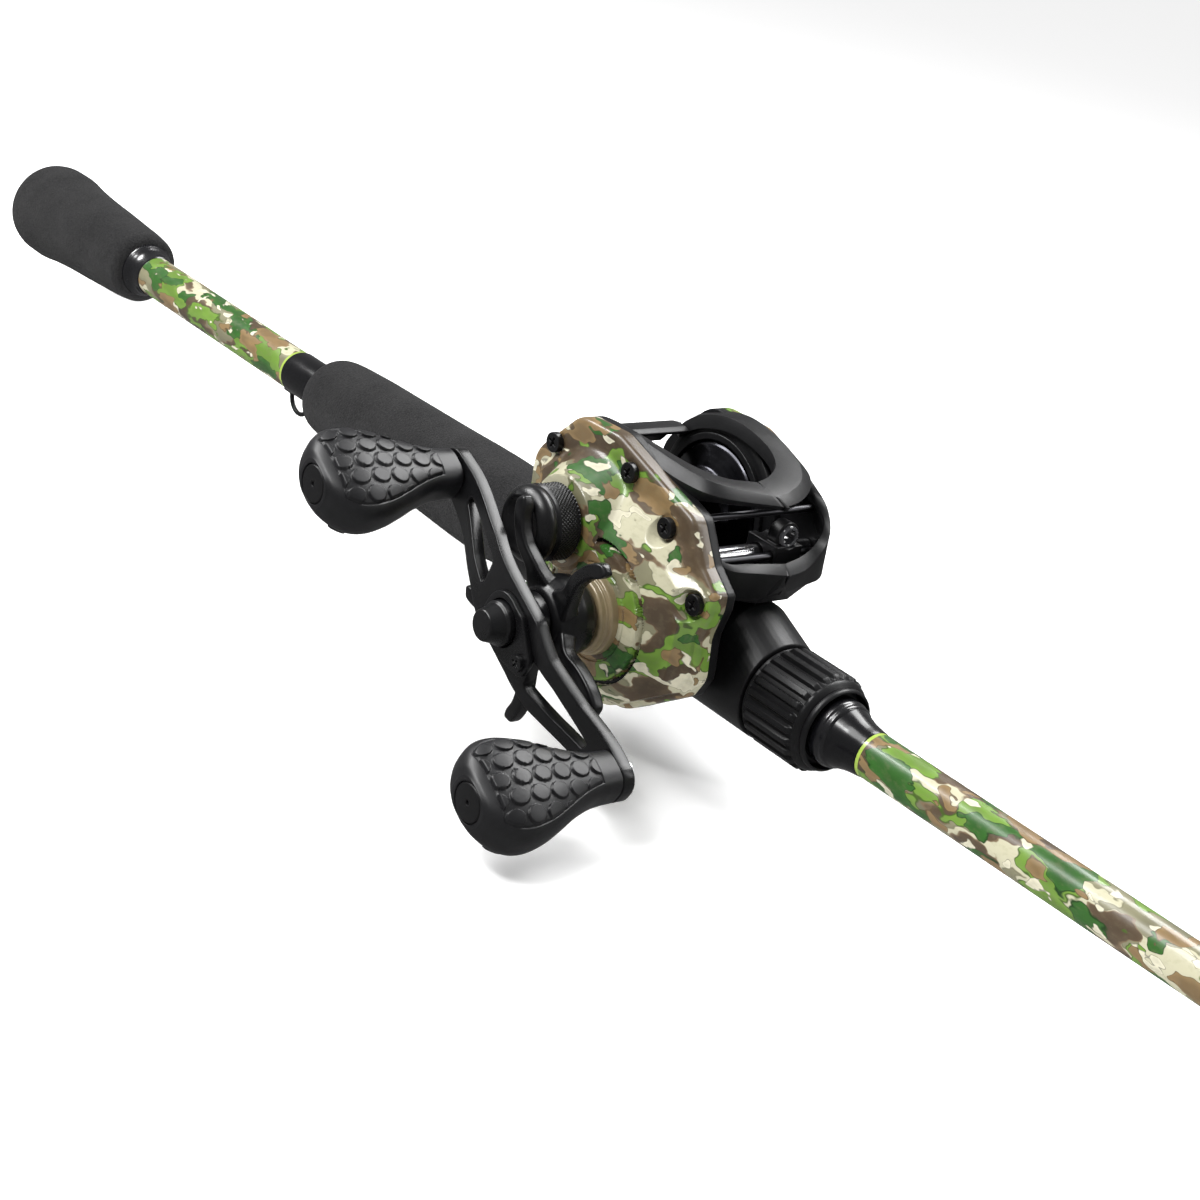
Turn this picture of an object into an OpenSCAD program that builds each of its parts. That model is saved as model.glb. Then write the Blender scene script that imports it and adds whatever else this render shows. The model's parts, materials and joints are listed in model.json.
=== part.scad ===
// Baitcasting rod and reel, right-hand retrieve.
// Origin: centre of the butt end.  +X runs to the tip, +Z is the reel side,
// and the crank handle stands on the -Y side.  Millimetres.

/* [Rod] */
// Overall length, butt end to front of the tip top
rod_length = 2134; // [2050:1:2300]
// Blank outer diameter at the butt
blank_butt_d = 13.24; // [13.1:0.02:13.3]
// Blank outer diameter just ahead of the handle
blank_mid_d = 10.56; // [10.4:0.02:10.7]
// Blank outer diameter at the tip
blank_tip_d = 1.9; // [1.7:0.1:2.1]

/* [Grips] */
// Diameter of the rear grip at its widest
rear_grip_d = 31.8; // [30:0.2:33]
// Length of the rear grip with its butt cap
rear_grip_len = 75; // [72:1:78]
// Diameter of the fore grip where it is widest, near the seat
fore_grip_d = 27.8; // [27:0.2:29]
// Length of the fore grip
fore_grip_len = 106; // [100:1:106]

/* [Reel seat] */
// Distance from the butt end to the crank axis
crank_x = 362; // [362:1:366]
// Height of the crank axis above the rod axis
crank_z = 9; // [9:0.1:9.2]
// Radius of the seat barrel under the sliding hood
barrel_r = 9.55; // [9.4:0.01:9.55]
// Ribs around the lock nut
nut_ribs = 24; // [18:1:28]

/* [Reel] */
// Gap between the frame walls
frame_gap = 35; // [35:0.1:35.4]
// Radius of the spool flanges
spool_r = 16; // [15.5:0.1:16]
// Teeth on the main gear
main_teeth = 75; // [70:1:76]
// Teeth on the pinion
pinion_teeth = 10; // [10:1:12]

/* [Handle] */
// Distance between the two knob axes
knob_span = 85.6; // [82:0.2:88]
// Angle of the handle above the rod, at rest
handle_angle = 150.65; // [140:0.05:160]
// Length of each knob
knob_len = 37.3; // [34:0.1:38]
// Arms on the star drag
star_arms = 5; // [5:1:6]

/* [Hidden] */

$fn = 64;
fine = 96;
eps = 0.01;
run = 0.05;          // radial running clearance
pressure = 25;       // gear pressure angle

// Stations along the rod
knee_x = 534;
cap_len = 4;
check_end = rear_grip_len + 7;
camo_end = 175;
keeper_x = camo_end + 3;
fore_start = 194;
fore_end = fore_start + fore_grip_len;
seat_step = crank_x + 6;
barrel_end = crank_x + 52;
tip_len = 14;

// Reel axes, as offsets from the crank axis
spool_dx = -16;
spool_dz = 16.3;
center_dist = norm([spool_dx, spool_dz]);
mesh_angle = atan2(spool_dz, spool_dx);
gear_mod = 2 * center_dist / (main_teeth + pinion_teeth);
lw_mod = 0.6;
lw_angle = 50;
lw_drive_teeth = 34;
lw_idler_teeth = 16;
lw_worm_teeth = 14;
idler_dist = lw_mod * (lw_drive_teeth + lw_idler_teeth) / 2;
worm_dist = idler_dist + lw_mod * (lw_idler_teeth + lw_worm_teeth) / 2;
worm_x = crank_x + worm_dist * cos(lw_angle);
worm_z = crank_z + worm_dist * sin(lw_angle);
spool_x = crank_x + spool_dx;
spool_z = crank_z + spool_dz;

// Layers across the reel, along Y
wall_in = frame_gap / 2;
wall = 2.5;
wall_out = wall_in + wall;
rim_y = -24;         // outer face of the side plate's rim
body_y = -28.5;      // outer face of its gear housing
boss_y = -32;        // outer face of its crank boss
tension_y = -33;     // outer face of its spool boss
saddle_z = 6.3;
foot_top = 8.3;
lip_z = 26.6;

// Handle
knob_r = knob_span / 2;
arm_out = -56.5;
arm_t = 3.2;
arm_end_y = -50.5;
knob_base_y = -51.3;
knob_end_y = knob_base_y - knob_len;
post_r = 2.5;
shaft_r = 3;
shaft_end = -61;      // outer end of the crank shaft, inside the nut
nut_face = -59.8;     // outer face of the nut's hexagon
retainer_t = 1.5;     // the nut retainer and its screw head
screw_spots = [[-33, 29], [-4.5, 32.4], [11.4, 25.2], [25.6, 12.4]];

// Line guides: [distance from the butt, ring outer radius, ring height above the blank]
tip_x = rod_length;
guide_rows = [[764, 6.6, 11], [1010, 5.4, 8.6], [1240, 4.6, 7.2], [1435, 4.1, 6.2],
    [1605, 3.8, 5.6], [1755, 3.6, 5.1], [1890, 3.5, 4.8], [2018, 3.4, 4.6]];

function blank_r(x) = lookup(x, [[0, blank_butt_d / 2], [knee_x, blank_mid_d / 2],
    [rod_length, blank_tip_d / 2]]);
function unit(v) = v / norm(v);
function turn(a) = a > 180 ? a - 360 : (a < -180 ? a + 360 : a);

// A closed outline with each corner [x, y, radius] rounded by an arc
function corner(p, i, n) = let(c = p[i], a = p[(i + len(p) - 1) % len(p)], b = p[(i + 1) % len(p)],
    v = [c[0], c[1]], u = unit([a[0], a[1]] - v), w = unit([b[0], b[1]] - v),
    half = acos(u * w) / 2, mid = v + unit(u + w) * c[2] / sin(half),
    s = v + u * c[2] / tan(half) - mid, e = v + w * c[2] / tan(half) - mid,
    a0 = atan2(s[1], s[0]), da = turn(atan2(e[1], e[0]) - a0))
    [for (k = [0:n]) mid + c[2] * [cos(a0 + da * k / n), sin(a0 + da * k / n)]];
function rounded(p, n = 6) = [for (i = [0:len(p) - 1]) each corner(p, i, n)];

// Turned about the rod axis, profile points are [radius, x]
module turned_x(profile) rotate([0, 90, 0]) rotate_extrude($fn = fine) polygon(profile);
// Turned about Y, profile points are [radius, y]
module turned_y(profile) rotate([-90, 0, 0]) rotate_extrude($fn = fine) polygon(profile);
// A flat shape drawn in X and Z, from y0 to y1
module slab_y(y0, y1) translate([0, y1, 0]) rotate([90, 0, 0]) linear_extrude(y1 - y0) children();
module rod_x(x0, x1, r) translate([x0, 0, 0]) rotate([0, 90, 0]) cylinder(h = x1 - x0, r = r);
module rod_y(y0, y1, r) translate([0, y1, 0]) rotate([90, 0, 0]) cylinder(h = y1 - y0, r = r);
module at_crank() translate([crank_x, 0, crank_z]) children();
module at_spool() translate([spool_x, 0, spool_z]) children();
module at_worm() translate([worm_x, 0, worm_z]) children();
module at_idler() translate([crank_x + idler_dist * cos(lw_angle), 0, crank_z + idler_dist * sin(lw_angle)]) children();
module from_crank() translate([crank_x, 0, 0]) children();
module box(lo, hi) translate(lo) cube(hi - lo);

// The tapered solid of the blank, grown by extra, from x0 to x1
module blank_solid(x0, x1, extra = 0) turned_x(concat([[0, x0], [blank_r(x0) + extra, x0]],
    [for (x = [knee_x]) if (x > x0 && x < x1) [blank_r(x) + extra, x]], [[blank_r(x1) + extra, x1], [0, x1]]));

// Involute gear, drawn flat, with a tooth on the +X side
function inv(a) = tan(a) * 180 / PI - a;
function half_tooth(n, m, r, play) = let(rp = n * m / 2, rb = rp * cos(pressure))
    90 / n - play / rp * 90 / PI + inv(pressure) - inv(acos(min(1, rb / r)));
module gear_shape(n, m, play = 0.1) {
    rp = n * m / 2;
    tip = rp + 0.8 * m;
    root = rp - 1.1 * m;
    low = max(rp * cos(pressure), root + eps);
    side = [for (k = [0:4]) let(r = low + (tip - low) * k / 4) [r, half_tooth(n, m, r, play)]];
    tooth = concat([[root, -side[0][1]]], [for (s = side) [s[0], -s[1]]],
        [for (k = [4:-1:0]) side[k]], [[root, side[0][1]]]);
    polygon([for (i = [0:n - 1]) for (t = tooth) let(a = t[1] + 360 * i / n) t[0] * [cos(a), sin(a)]]);
}

// ---------------------------------------------------------------- rod

module rod_blank() color("darkolivegreen") difference() {
    blank_solid(cap_len, tip_x - 1);
    blank_solid(cap_len - eps, tip_x, -0.45);
}

module butt_cap() color("#151515") turned_x([[0, 0], [12, 0], [14, 0.7], [15.2, 2], [15.6, cap_len], [0, cap_len]]);

module rear_grip() {
    r = rear_grip_d / 2;
    e = rear_grip_len;
    color("#2a2a2c") difference() {
        turned_x([[0, cap_len], [15.6, cap_len], [r, 5.4], [r, 14.6], [r - 0.8, 20], [r - 1.4, 27], [r - 1.9, 34],
            [r - 2.7, e - 25], [r - 3.2, e - 17], [r - 3.7, e - 8], [r - 4.3, e - 2.5], [r - 5, e - 0.6],
            [9.4, e], [9.2, e - 3], [0, e - 3]]);
        blank_solid(cap_len - 1, e + 1);
    }
}

module rear_check() color("#101012") difference() {
    turned_x([[0, rear_grip_len - 3], [9.2, rear_grip_len - 3], [8.9, rear_grip_len - 0.6], [7.6, rear_grip_len + 1.2],
        [6.95, check_end - 3], [6.75, check_end], [0, check_end]]);
    blank_solid(rear_grip_len - 4, check_end + 1);
}

module hook_keeper() color("#1b1b1b") translate([keeper_x, 0, -blank_r(camo_end) - 0.9]) {
    rotate([90, 0, 0]) rotate_extrude(angle = -180) translate([5, 0]) circle(r = 0.7, $fn = 16);
    for (s = [-1, 1]) translate([s * 5, 0, 0]) rotate([0, s * 90, 0]) cylinder(h = 4, r = 0.7, $fn = 16);
}

module keeper_wrap() color("#0e0e10") difference() {
    rod_x(camo_end, fore_start + 3, blank_r(camo_end) + 0.3);
    blank_solid(camo_end - 1, fore_start + 4);
    translate([keeper_x, 0, -blank_r(camo_end) - 0.9]) rod_x(-10, 10, 0.72);
}

module fore_grip() {
    r = fore_grip_d / 2;
    s = fore_start;
    e = fore_end;
    color("#262628") difference() {
        turned_x([[0, s + 3], [8, s + 3], [8, s + 0.6], [9, s], [10.4, s + 0.8], [11.5, s + 3], [12.1, s + 8],
            [12.5, s + 15], [12.8, s + 23], [13.1, s + 40], [13.5, s + 62], [r, s + 78], [r, e - 14], [13, e - 4],
            [12.3, e], [0, e]]);
        blank_solid(s - 1, e + 1);
    }
}

// Casting seat: rear pocket, flat saddle, finger trigger and a straight barrel
module reel_seat() color("#1c1c1e") difference() {
    union() {
        rod_x(fore_end, crank_x - 41, 12.3);
        translate([0, 0, 3.6]) rod_x(fore_end + 6, crank_x - 41, 10.2);
        rod_x(crank_x - 41, seat_step, 11);
        rod_x(seat_step, barrel_end, barrel_r);
        from_crank() slab_y(-3.5, 3.5) polygon(rounded([[-46, -5, 1], [-37, -12, 8], [-29, -24, 6], [-22, -27, 2],
            [-20, -24, 2], [-24, -15, 6], [-18, -10, 5], [-6, -5, 1]]));
    }
    from_crank() box([-41, -20, saddle_z], [22.6, 20, 30]);
    from_crank() box([-52, -7, saddle_z], [-40, 7, foot_top + 0.2]);
    blank_solid(fore_end - 1, barrel_end + 1);
}

module hood_disc(x, r, z) translate([x, 0, z]) rotate([0, 90, 0]) cylinder(h = 0.4, r = r, $fn = 48);

module seat_hood() color("#1a1a1c") from_crank() difference() {
    union() {
        hull() {
            hood_disc(8.3, 11.4, 6.9);
            hood_disc(22, 11.3, 6.5);
            hood_disc(33.4, 12.3, 0);
            hood_disc(8.3, 12.3, 0);
        }
        rod_x(8.3, 33.85, 12.3);
    }
    rod_x(8, 34, barrel_r + run);
    box([8, -7, 5], [22.6, 7, foot_top + 0.3]);
}

module seat_nut() color("#151517") from_crank() difference() {
    union() {
        turned_x([[0, 34], [11.5, 34], [11.5, 51], [11, 52.4], [10.6, 53], [10.6, 54.2], [0, 54.2]]);
        for (i = [0:nut_ribs - 1]) rotate([i * 360 / nut_ribs, 0, 0])
            box([34.4, -0.95, 10.8], [50.6, 0.95, 12.3]);
    }
    rod_x(33, 55, barrel_r + run);
}

module front_check() color("#0c0c0e") difference() {
    from_crank() turned_x([[0, 52.1], [8.3, 52.1], [8.3, 57], [7.7, 57.8], [0, 57.8]]);
    blank_solid(crank_x + 51, crank_x + 59);
}

module front_trim() color("#0c0c0e") difference() {
    from_crank() turned_x([[0, 57.8], [7.4, 57.8], [6.9, 59.4], [6.3, 62], [5.95, 66], [0, 66]]);
    blank_solid(crank_x + 57, crank_x + 67);
}

// ---------------------------------------------------------------- line guides

function foot_half(r) = 5 + 1.6 * r;
function ring_z(g) = blank_r(g[0]) + g[2];
function guide_foot_z(g) = blank_r(g[0] - foot_half(g[1]) - 6) + 0.05;

// Two-foot guide: a collar for the ring, two legs in front and two behind
module line_guide_frame(g) color("#202022") {
    top = guide_foot_z(g);
    difference() {
        translate([g[0], 0, ring_z(g)]) rod_x(-0.9, 0.9, g[1]);
        translate([g[0], 0, ring_z(g)]) rod_x(-2, 2, g[1] - 0.7);
    }
    for (s = [-1, 1]) {
        translate([g[0] + s * (foot_half(g[1]) + 2.5), 0, top + 0.3]) cube([7, 1.8, 0.6], center = true);
        for (w = [-1, 1]) hull() {
            translate([g[0] + s * foot_half(g[1]), w * 0.5, top + 0.3]) cube([1, 0.8, 0.6], center = true);
            translate([g[0] + s * 0.6, w * g[1] * 0.82, ring_z(g) - g[1] * 0.6]) cube([0.6, 0.6, 0.9], center = true);
        }
    }
}

module guide_1() line_guide_frame(guide_rows[0]);
module guide_2() line_guide_frame(guide_rows[1]);
module guide_3() line_guide_frame(guide_rows[2]);
module guide_4() line_guide_frame(guide_rows[3]);
module guide_5() line_guide_frame(guide_rows[4]);
module guide_6() line_guide_frame(guide_rows[5]);
module guide_7() line_guide_frame(guide_rows[6]);
module guide_8() line_guide_frame(guide_rows[7]);

tip_ring_r = 3.2;
tip_ring_z = 5.2;

module tip_top() color("#202022") {
    difference() {
        rod_x(tip_x - tip_len, tip_x - 0.2, 1.7);
        blank_solid(tip_x - tip_len - 1, tip_x - 1);
    }
    difference() {
        translate([tip_x - 1.8, 0, tip_ring_z]) rod_x(0, 1.8, tip_ring_r);
        translate([tip_x - 3, 0, tip_ring_z]) rod_x(0, 4, tip_ring_r - 0.7);
    }
    for (w = [-1, 1]) hull() {
        translate([tip_x - tip_len + 4, w * 1.1, 1.3]) cube([1.2, 0.7, 0.7], center = true);
        translate([tip_x - 1.5, w * 2.75, tip_ring_z - 1]) cube([0.7, 0.7, 0.8], center = true);
    }
}

module ring(x, z, r) translate([x, 0, z]) difference() {
    rod_x(-0.8, 0.8, r);
    rod_x(-1, 1, r - 0.9);
}

module guide_rings() color("#4a4a50") {
    for (g = guide_rows) ring(g[0], ring_z(g), g[1] - 0.7);
    ring(tip_x - 0.9, tip_ring_z, tip_ring_r - 0.7);
}

module guide_wraps() color("#111113") for (g = guide_rows) for (s = [-1, 1]) difference() {
    mid = g[0] + s * (foot_half(g[1]) + 4.7);
    top = guide_foot_z(g);
    rod_x(mid - 4, mid + 4, blank_r(mid - 4) + 0.85);
    blank_solid(mid - 5, mid + 5, 0.01);
    translate([g[0] + s * (foot_half(g[1]) + 2.5), 0, top + 0.3]) cube([7.04, 1.84, 0.64], center = true);
}

// ---------------------------------------------------------------- reel frame and covers

gear_outline = [[-24, -18, 10], [-40, 2, 12], [-41.5, 24, 9], [-27, 38.3, 9], [-12, 38.9, 9], [18.2, 30, 5],
    [24.4, 20.9, 1], [30.6, 16.2, 1.4], [30.6, 12.5, 2], [28.6, 5, 9], [29.9, -5, 5], [27, -10.5, 2], [8, -23.2, 12],
    [-12, -23.6, 12]];
palm_outline = [[-26, -8, 12], [-40, 4, 10], [-41.5, 24, 9], [-27, 38.6, 9], [-10, 38.8, 10], [5, 33.6, 8],
    [15.6, 24, 5], [16.6, 16, 5], [2, -2, 10], [-12, -8, 10]];

module gear_side_2d(shrink = 0) polygon(rounded([for (p = gear_outline) let(c = [-5, 8])
    [c[0] + (p[0] - c[0]) * (1 - shrink), c[1] + (p[1] - c[1]) * (1 - shrink), p[2]]]));
module palm_side_2d(shrink = 0) polygon(rounded([for (p = palm_outline) let(c = [-14, 15])
    [c[0] + (p[0] - c[0]) * (1 - shrink), c[1] + (p[1] - c[1]) * (1 - shrink), p[2]]]));

// One-piece frame: two walls, the foot, a rear pillar and the front lip
module reel_frame() color("#202022") difference() {
    union() {
        at_crank() slab_y(-wall_out, -wall_in) gear_side_2d();
        at_crank() slab_y(wall_in, wall_out) {
            palm_side_2d();
            polygon([[4, 33.9], [14, 30], [19.5, 20], [15, 10], [0, 5]]);
        }
        from_crank() box([-34, -wall_in - 1, saddle_z], [7.5, wall_in + 1, foot_top]);
        from_crank() translate([0, 0, saddle_z]) linear_extrude(foot_top - saddle_z)
            polygon(rounded([[-51, -6, 5], [-30, -6.5, 2], [8, -6.5, 1], [21.5, -5, 4.5], [21.5, 5, 4.5],
                [8, 6.5, 1], [-30, 6.5, 2], [-51, 6, 5]]));
        from_crank() box([-37.5, -wall_in - 1, 8], [-34, wall_in + 1, 28]);
        from_crank() intersection() {
            slab_y(-wall_in - 1, wall_in + 1) polygon([[7.5, saddle_z], [7.5, 19], [24.5, 19], [26.8, 23.5],
                [27.4, lip_z], [23, lip_z], [22.4, 23], [10, 23], [4.5, 24.5], [3, 22], [3, saddle_z]]);
            linear_extrude(40) polygon([[-5, -18.5], [15.5, -18.5], [27.4, 0], [18, 18.5], [-5, 18.5]]);
        }
        for (s = [-1, 1]) at_spool() rod_y(min(s * (wall_in - 4), s * wall_in), max(s * (wall_in - 4), s * wall_in), 18.4);
    }
    at_spool() rod_y(-wall_in - eps, wall_in + eps, spool_r + 0.6);
    at_spool() rod_y(-wall_out - 1, -wall_in + 1, 4.2);
    at_spool() rod_y(wall_in - 1, wall_out + 1, 5);
    at_crank() rod_y(-wall_out - 1, -wall_in + 1, 5.5);
    at_worm() rod_y(-wall_out - 1, -wall_in + 1, 1.65);
    at_worm() rod_y(wall_in - 1, wall_out + 1, 1.65);
    from_crank() box([-60, -30, -1], [-34, -18, 1]);
}

// Horseshoe shroud over the front of the spool, with a pointed nose
module front_hood() color("#1e1e20") from_crank() difference() {
    intersection() {
        slab_y(-wall_in, wall_in) polygon([[22, 42.4], [20.4, 45], [12, 48.6], [0, 50.8], [-12, 51.6], [-19, 50],
            [-21, 47], [-12, 44.8], [0, 43], [10, 41.2], [20.4, 40.2]]);
        linear_extrude(60) polygon([[-21, -wall_in], [-10, -wall_in], [22, -1.5], [22, 1.5], [9, wall_in], [-21, wall_in]]);
    }
    translate([-9, 0, 0]) scale([1.4, 1, 1]) cylinder(h = 60, r = 12.6);
}

// Gear housing with a crank boss, a spool boss and a threaded neck
module gear_side_plate() color("#8a8f5a") difference() {
    union() {
        at_crank() slab_y(rim_y, -wall_out) gear_side_2d();
        at_crank() slab_y(rim_y - 2, rim_y) gear_side_2d(0.1);
        at_crank() slab_y(body_y, rim_y) circle(r = 22.8, $fn = fine);
        at_crank() slab_y(boss_y, body_y) circle(r = 16.3, $fn = fine);
        at_spool() slab_y(tension_y, rim_y) circle(r = 12.3, $fn = fine);
        at_spool() slab_y(tension_y - 6.5, tension_y) circle(r = 7);
    }
    at_crank() rod_y(-27, -wall_out + 1, 21.1);
    at_spool() rod_y(-31.3, -wall_out + 1, 10.5);
    at_worm() rod_y(-23, -wall_out + 1, 5.3);
    at_idler() rod_y(-23, -wall_out + 1, 5.8);
    at_crank() rod_y(boss_y - 1, -26, 7.5);
    at_spool() rod_y(tension_y - 8, -31, 4);
    for (p = screw_spots) at_crank() translate([p[0], 0, p[1]]) rod_y(-27, -19, 1.1);
    for (p = screw_spots) at_crank() translate([p[0], 0, p[1]]) rod_y(-27, rim_y, 2.6);
}

module palm_side_plate() color("#8a8f5a") difference() {
    union() {
        at_crank() slab_y(wall_out, 23.4) palm_side_2d();
        at_crank() slab_y(23.4, 25.4) palm_side_2d(0.12);
        at_spool() slab_y(25.4, 26.8) circle(r = 14.5, $fn = fine);
    }
    at_spool() rod_y(wall_out - 1, 22.8, 12.8);
    at_spool() rod_y(20, 28, 5.05);
}

module side_plate_screws() color("#18181a") for (p = screw_spots) at_crank() translate([p[0], 0, p[1]]) {
    rod_y(rim_y, -wall_out, 1.1);
    difference() {
        rod_y(rim_y - 1.6, rim_y, 2.5);
        for (a = [0, 90]) rotate([0, a + 20, 0]) box([-1.4, rim_y - 2, -0.3], [1.4, rim_y - 0.8, 0.3]);
    }
}

// ---------------------------------------------------------------- spool and gear train

module spool() color("#2c2c30") at_spool() difference() {
    turned_y([[1.5, -16.6], [3, -16.6], [3, -14.5], [spool_r, -14.5], [spool_r, -13.8], [spool_r - 0.8, -13.3],
        [9.6, -11], [9, -9.6], [9, 9.6], [9.6, 11], [spool_r - 0.8, 13.3], [spool_r, 13.8], [spool_r, 14.5], [1.5, 14.5]]);
    for (s = [-1, 1]) difference() {
        rod_y(min(s * 3, s * 15), max(s * 3, s * 15), 8);
        rod_y(-20, 20, 3.4);
    }
}

module spool_shaft() color("silver") at_spool() rod_y(-38.5, 20.1, 1.5);

module bearing(y0, y1, r, bore) difference() {
    rod_y(y0, y1, r);
    rod_y(y0 - 1, y1 + 1, bore);
}

module spool_bearings() color("silver") at_spool() {
    bearing(-36.5, -34, 4, 1.5 + run);
    bearing(wall_in + 0.2, wall_out - 0.2, 5, 1.5 + run);
}

module pinion_gear() color("goldenrod") at_spool() difference() {
    union() {
        slab_y(-27, -17) rotate(mesh_angle + 180 + 180 / pinion_teeth) gear_shape(pinion_teeth, gear_mod);
        rod_y(-29.2, -27, 2.3);
        rod_y(-29.2, -28.5, 3.2);
    }
    rod_y(-30, -16, 1.9);
}

module main_gear() color("goldenrod") at_crank() difference() {
    slab_y(-25.5, -22.5) rotate(mesh_angle) gear_shape(main_teeth, gear_mod);
    rod_y(-26, -22, shaft_r);
}

module level_wind_gear() color("ivory") at_crank() difference() {
    slab_y(-22.2, -20.5) rotate(lw_angle) gear_shape(lw_drive_teeth, lw_mod);
    rod_y(-23, -20, shaft_r);
}

module idler_gear() color("ivory") at_idler() difference() {
    slab_y(-22.2, -20.5) rotate(lw_angle + 180 + 180 / lw_idler_teeth) gear_shape(lw_idler_teeth, lw_mod);
    rod_y(-23, -20, 1.2 + run);
}

// Pins pressed into the gear-side wall: the idler's axle and the yoke's two posts
module frame_pins() color("silver") {
    at_idler() rod_y(-22.3, -wall_out, 1.2);
    at_mesh() yoke_post_pair(-31.2, -wall_out, 1);
}

module drive_shaft() color("silver") at_crank() rod_y(shaft_end, -17.6, shaft_r);

module shaft_bearing() color("silver") at_crank() bearing(-wall_out, -wall_in, 5.5, shaft_r + run);

module one_way_clutch() color("silver") at_crank() bearing(-31.9, -27.2, 7.5, shaft_r + run);

// Stepped ring around the shaft, outside the housing
module crank_collar() color("tan") at_crank() difference() {
    turned_y([[3.4, -36.4], [8.9, -36.4], [9.3, -35.6], [9.3, -34.4], [10.1, -34.2], [10.1, -32], [3.4, -32]]);
}

module drag_washers() color("dimgray") at_crank() for (k = [0:2]) difference() {
    rod_y(-25.9 - k * 0.4, -25.5 - k * 0.4, 12 - 0.4 * k);
    rod_y(-27, -25, shaft_r);
}

// ---------------------------------------------------------------- level wind

guide_y = 5;
bar_dx = 20.2;
bar_z = 28.6;
eyelet_dx = 19;
eyelet_z = 33.4;

module worm_shaft() color("silver") at_worm() {
    rod_y(-20, wall_out - 0.2, 1.6);
    rod_y(-17.2, 17.2, 2.2);
    difference() {
        slab_y(-22.2, -20.5) rotate(lw_angle + 180) gear_shape(lw_worm_teeth, lw_mod);
        rod_y(-23, -22.4, 1);
    }
    rod_y(-20.6, -19.9, 1.6);
}

module guide_bars() color("silver") from_crank() {
    translate([bar_dx, 0, bar_z]) rod_y(-wall_in, wall_in, 1);
    translate([15, 0, 37.4]) rod_y(-wall_in, wall_in, 0.9);
}

module line_guide() color("#232325") difference() {
    from_crank() translate([0, guide_y, 0]) {
        difference() {
            box([11.6, -4, 23.9], [22, 4, 31.4]);
            box([21.2, -5, 23], [23, 5, 27.2]);
        }
        box([17.2, -2.6, 31.3], [20.6, 2.6, 33]);
        translate([0, 0, eyelet_z]) rod_x(17.2, 20.6, 3.4);
    }
    at_worm() rod_y(-5, 20, 2.6);
    from_crank() translate([bar_dx, 0, bar_z]) rod_y(-5, 20, 1 + run);
    from_crank() translate([0, guide_y, eyelet_z]) rod_x(10, 30, 2.6);
}

module guide_eyelet() color("#4a4a50") from_crank() translate([0, guide_y, eyelet_z]) difference() {
    rod_x(17.2, 21.2, 2.6);
    rod_x(16, 22, 1.7);
}

// ---------------------------------------------------------------- clutch and brakes

module at_mesh() at_spool() rotate([0, -mesh_angle, 0]) children();

module yoke_post_pair(y0, y1, r) for (s = [-1, 1]) translate([2, 0, s * 7.5]) rod_y(y0, y1, r);

module clutch_yoke() color("gray") at_mesh() difference() {
    box([-4.4, -28.35, -9], [4.8, -27.15, 9]);
    rod_y(-30, -26, 2.6);
    box([-6, -30, -2.6], [0, -26, 2.6]);
    yoke_post_pair(-30, -26, 1 + run);
}

module thumb_bar() color("#141416") from_crank() slab_y(-16.6, 14.2)
    polygon(rounded([[-41.2, 34.2, 1], [-40.6, 38.4, 2], [-36, 40.6, 5], [-32.2, 41.4, 0.8], [-32.2, 39.2, 0.8],
        [-36, 37.2, 4], [-39, 33.8, 1]]));

module brake_dial() color("#161618") at_spool() difference() {
    union() {
        rod_y(27.1, 29.6, 10.5);
        rod_y(22.4, 27.2, 5);
        rod_y(20.5, 22.5, 12);
    }
    for (a = [0:30:330]) rotate([0, a, 0]) translate([11, 0, 0]) rod_y(26, 30.5, 1.2);
    for (a = [0:60:300]) rotate([0, a, 0]) translate([8.6, 0, 0]) rod_y(20, 21.8, 2);
}

module brake_magnets() color("silver") at_spool()
    for (a = [0:60:300]) rotate([0, a, 0]) translate([8.6, 0, 0]) rod_y(20.4, 21.8, 2);

module tension_knob() color("#141416") at_spool() turned_y([[0, -45], [6.9, -45], [8.2, -44], [8.6, -42.4],
    [9.3, -41.6], [9.3, -34], [8.9, -33.4], [7.1, -33.4], [7.1, -41], [0, -41]]);

// ---------------------------------------------------------------- star drag and handle

module star_arm() polygon(rounded([[4, -4.6, 0.5], [9, -3.6, 3], [14, -1.2, 6], [22, 0.2, 8], [28.4, -1.6, 1.5],
    [28.4, 2, 1.5], [22, 3.4, 8], [16, 2.9, 6], [10, 3.4, 4], [4, 4.6, 0.5]]));

module star_drag() color("#161618") at_crank() difference() {
    union() {
        turned_y([[0, -36.8], [8.4, -36.8], [9.6, -39.5], [9.4, -43], [8, -46], [6, -47.8], [0, -47.8]]);
        slab_y(-48.4, -45.3) for (i = [0:star_arms - 1]) rotate(47 + i * 360 / star_arms) star_arm();
    }
    rod_y(-50, -36, shaft_r + 0.3);
}

// Sleeve that holds the arm clear of the star
module arm_spacer() color("#18181a") at_crank() difference() {
    turned_y([[0, -48.6], [6.6, -48.6], [6.6, -51], [5.8, arm_out + arm_t], [0, arm_out + arm_t]]);
    rod_y(-60, -40, shaft_r);
}

retainer_spot = [-10.6, 0.8];
module at_handle() at_crank() rotate([0, -handle_angle, 0]) children();

arm_edge = [[7, 9, 6], [15, 6.2, 10], [27, 4.6, 12], [knob_r + 5.6, 5, 4.8], [knob_r + 5.6, -5.6, 4.8],
    [30, -7.6, 10], [18, -9.3, 10], [8, -8.8, 8]];
// The bow's outer and inner lines, as [place along the arm, y]
bow_out = [[11, arm_out], [knob_r - 6, arm_end_y], [knob_r + 8, arm_end_y]];
bow_in = [[knob_r + 8, arm_end_y + arm_t], [knob_r - 5.4, arm_end_y + arm_t], [11.6, arm_out + arm_t]];

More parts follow.
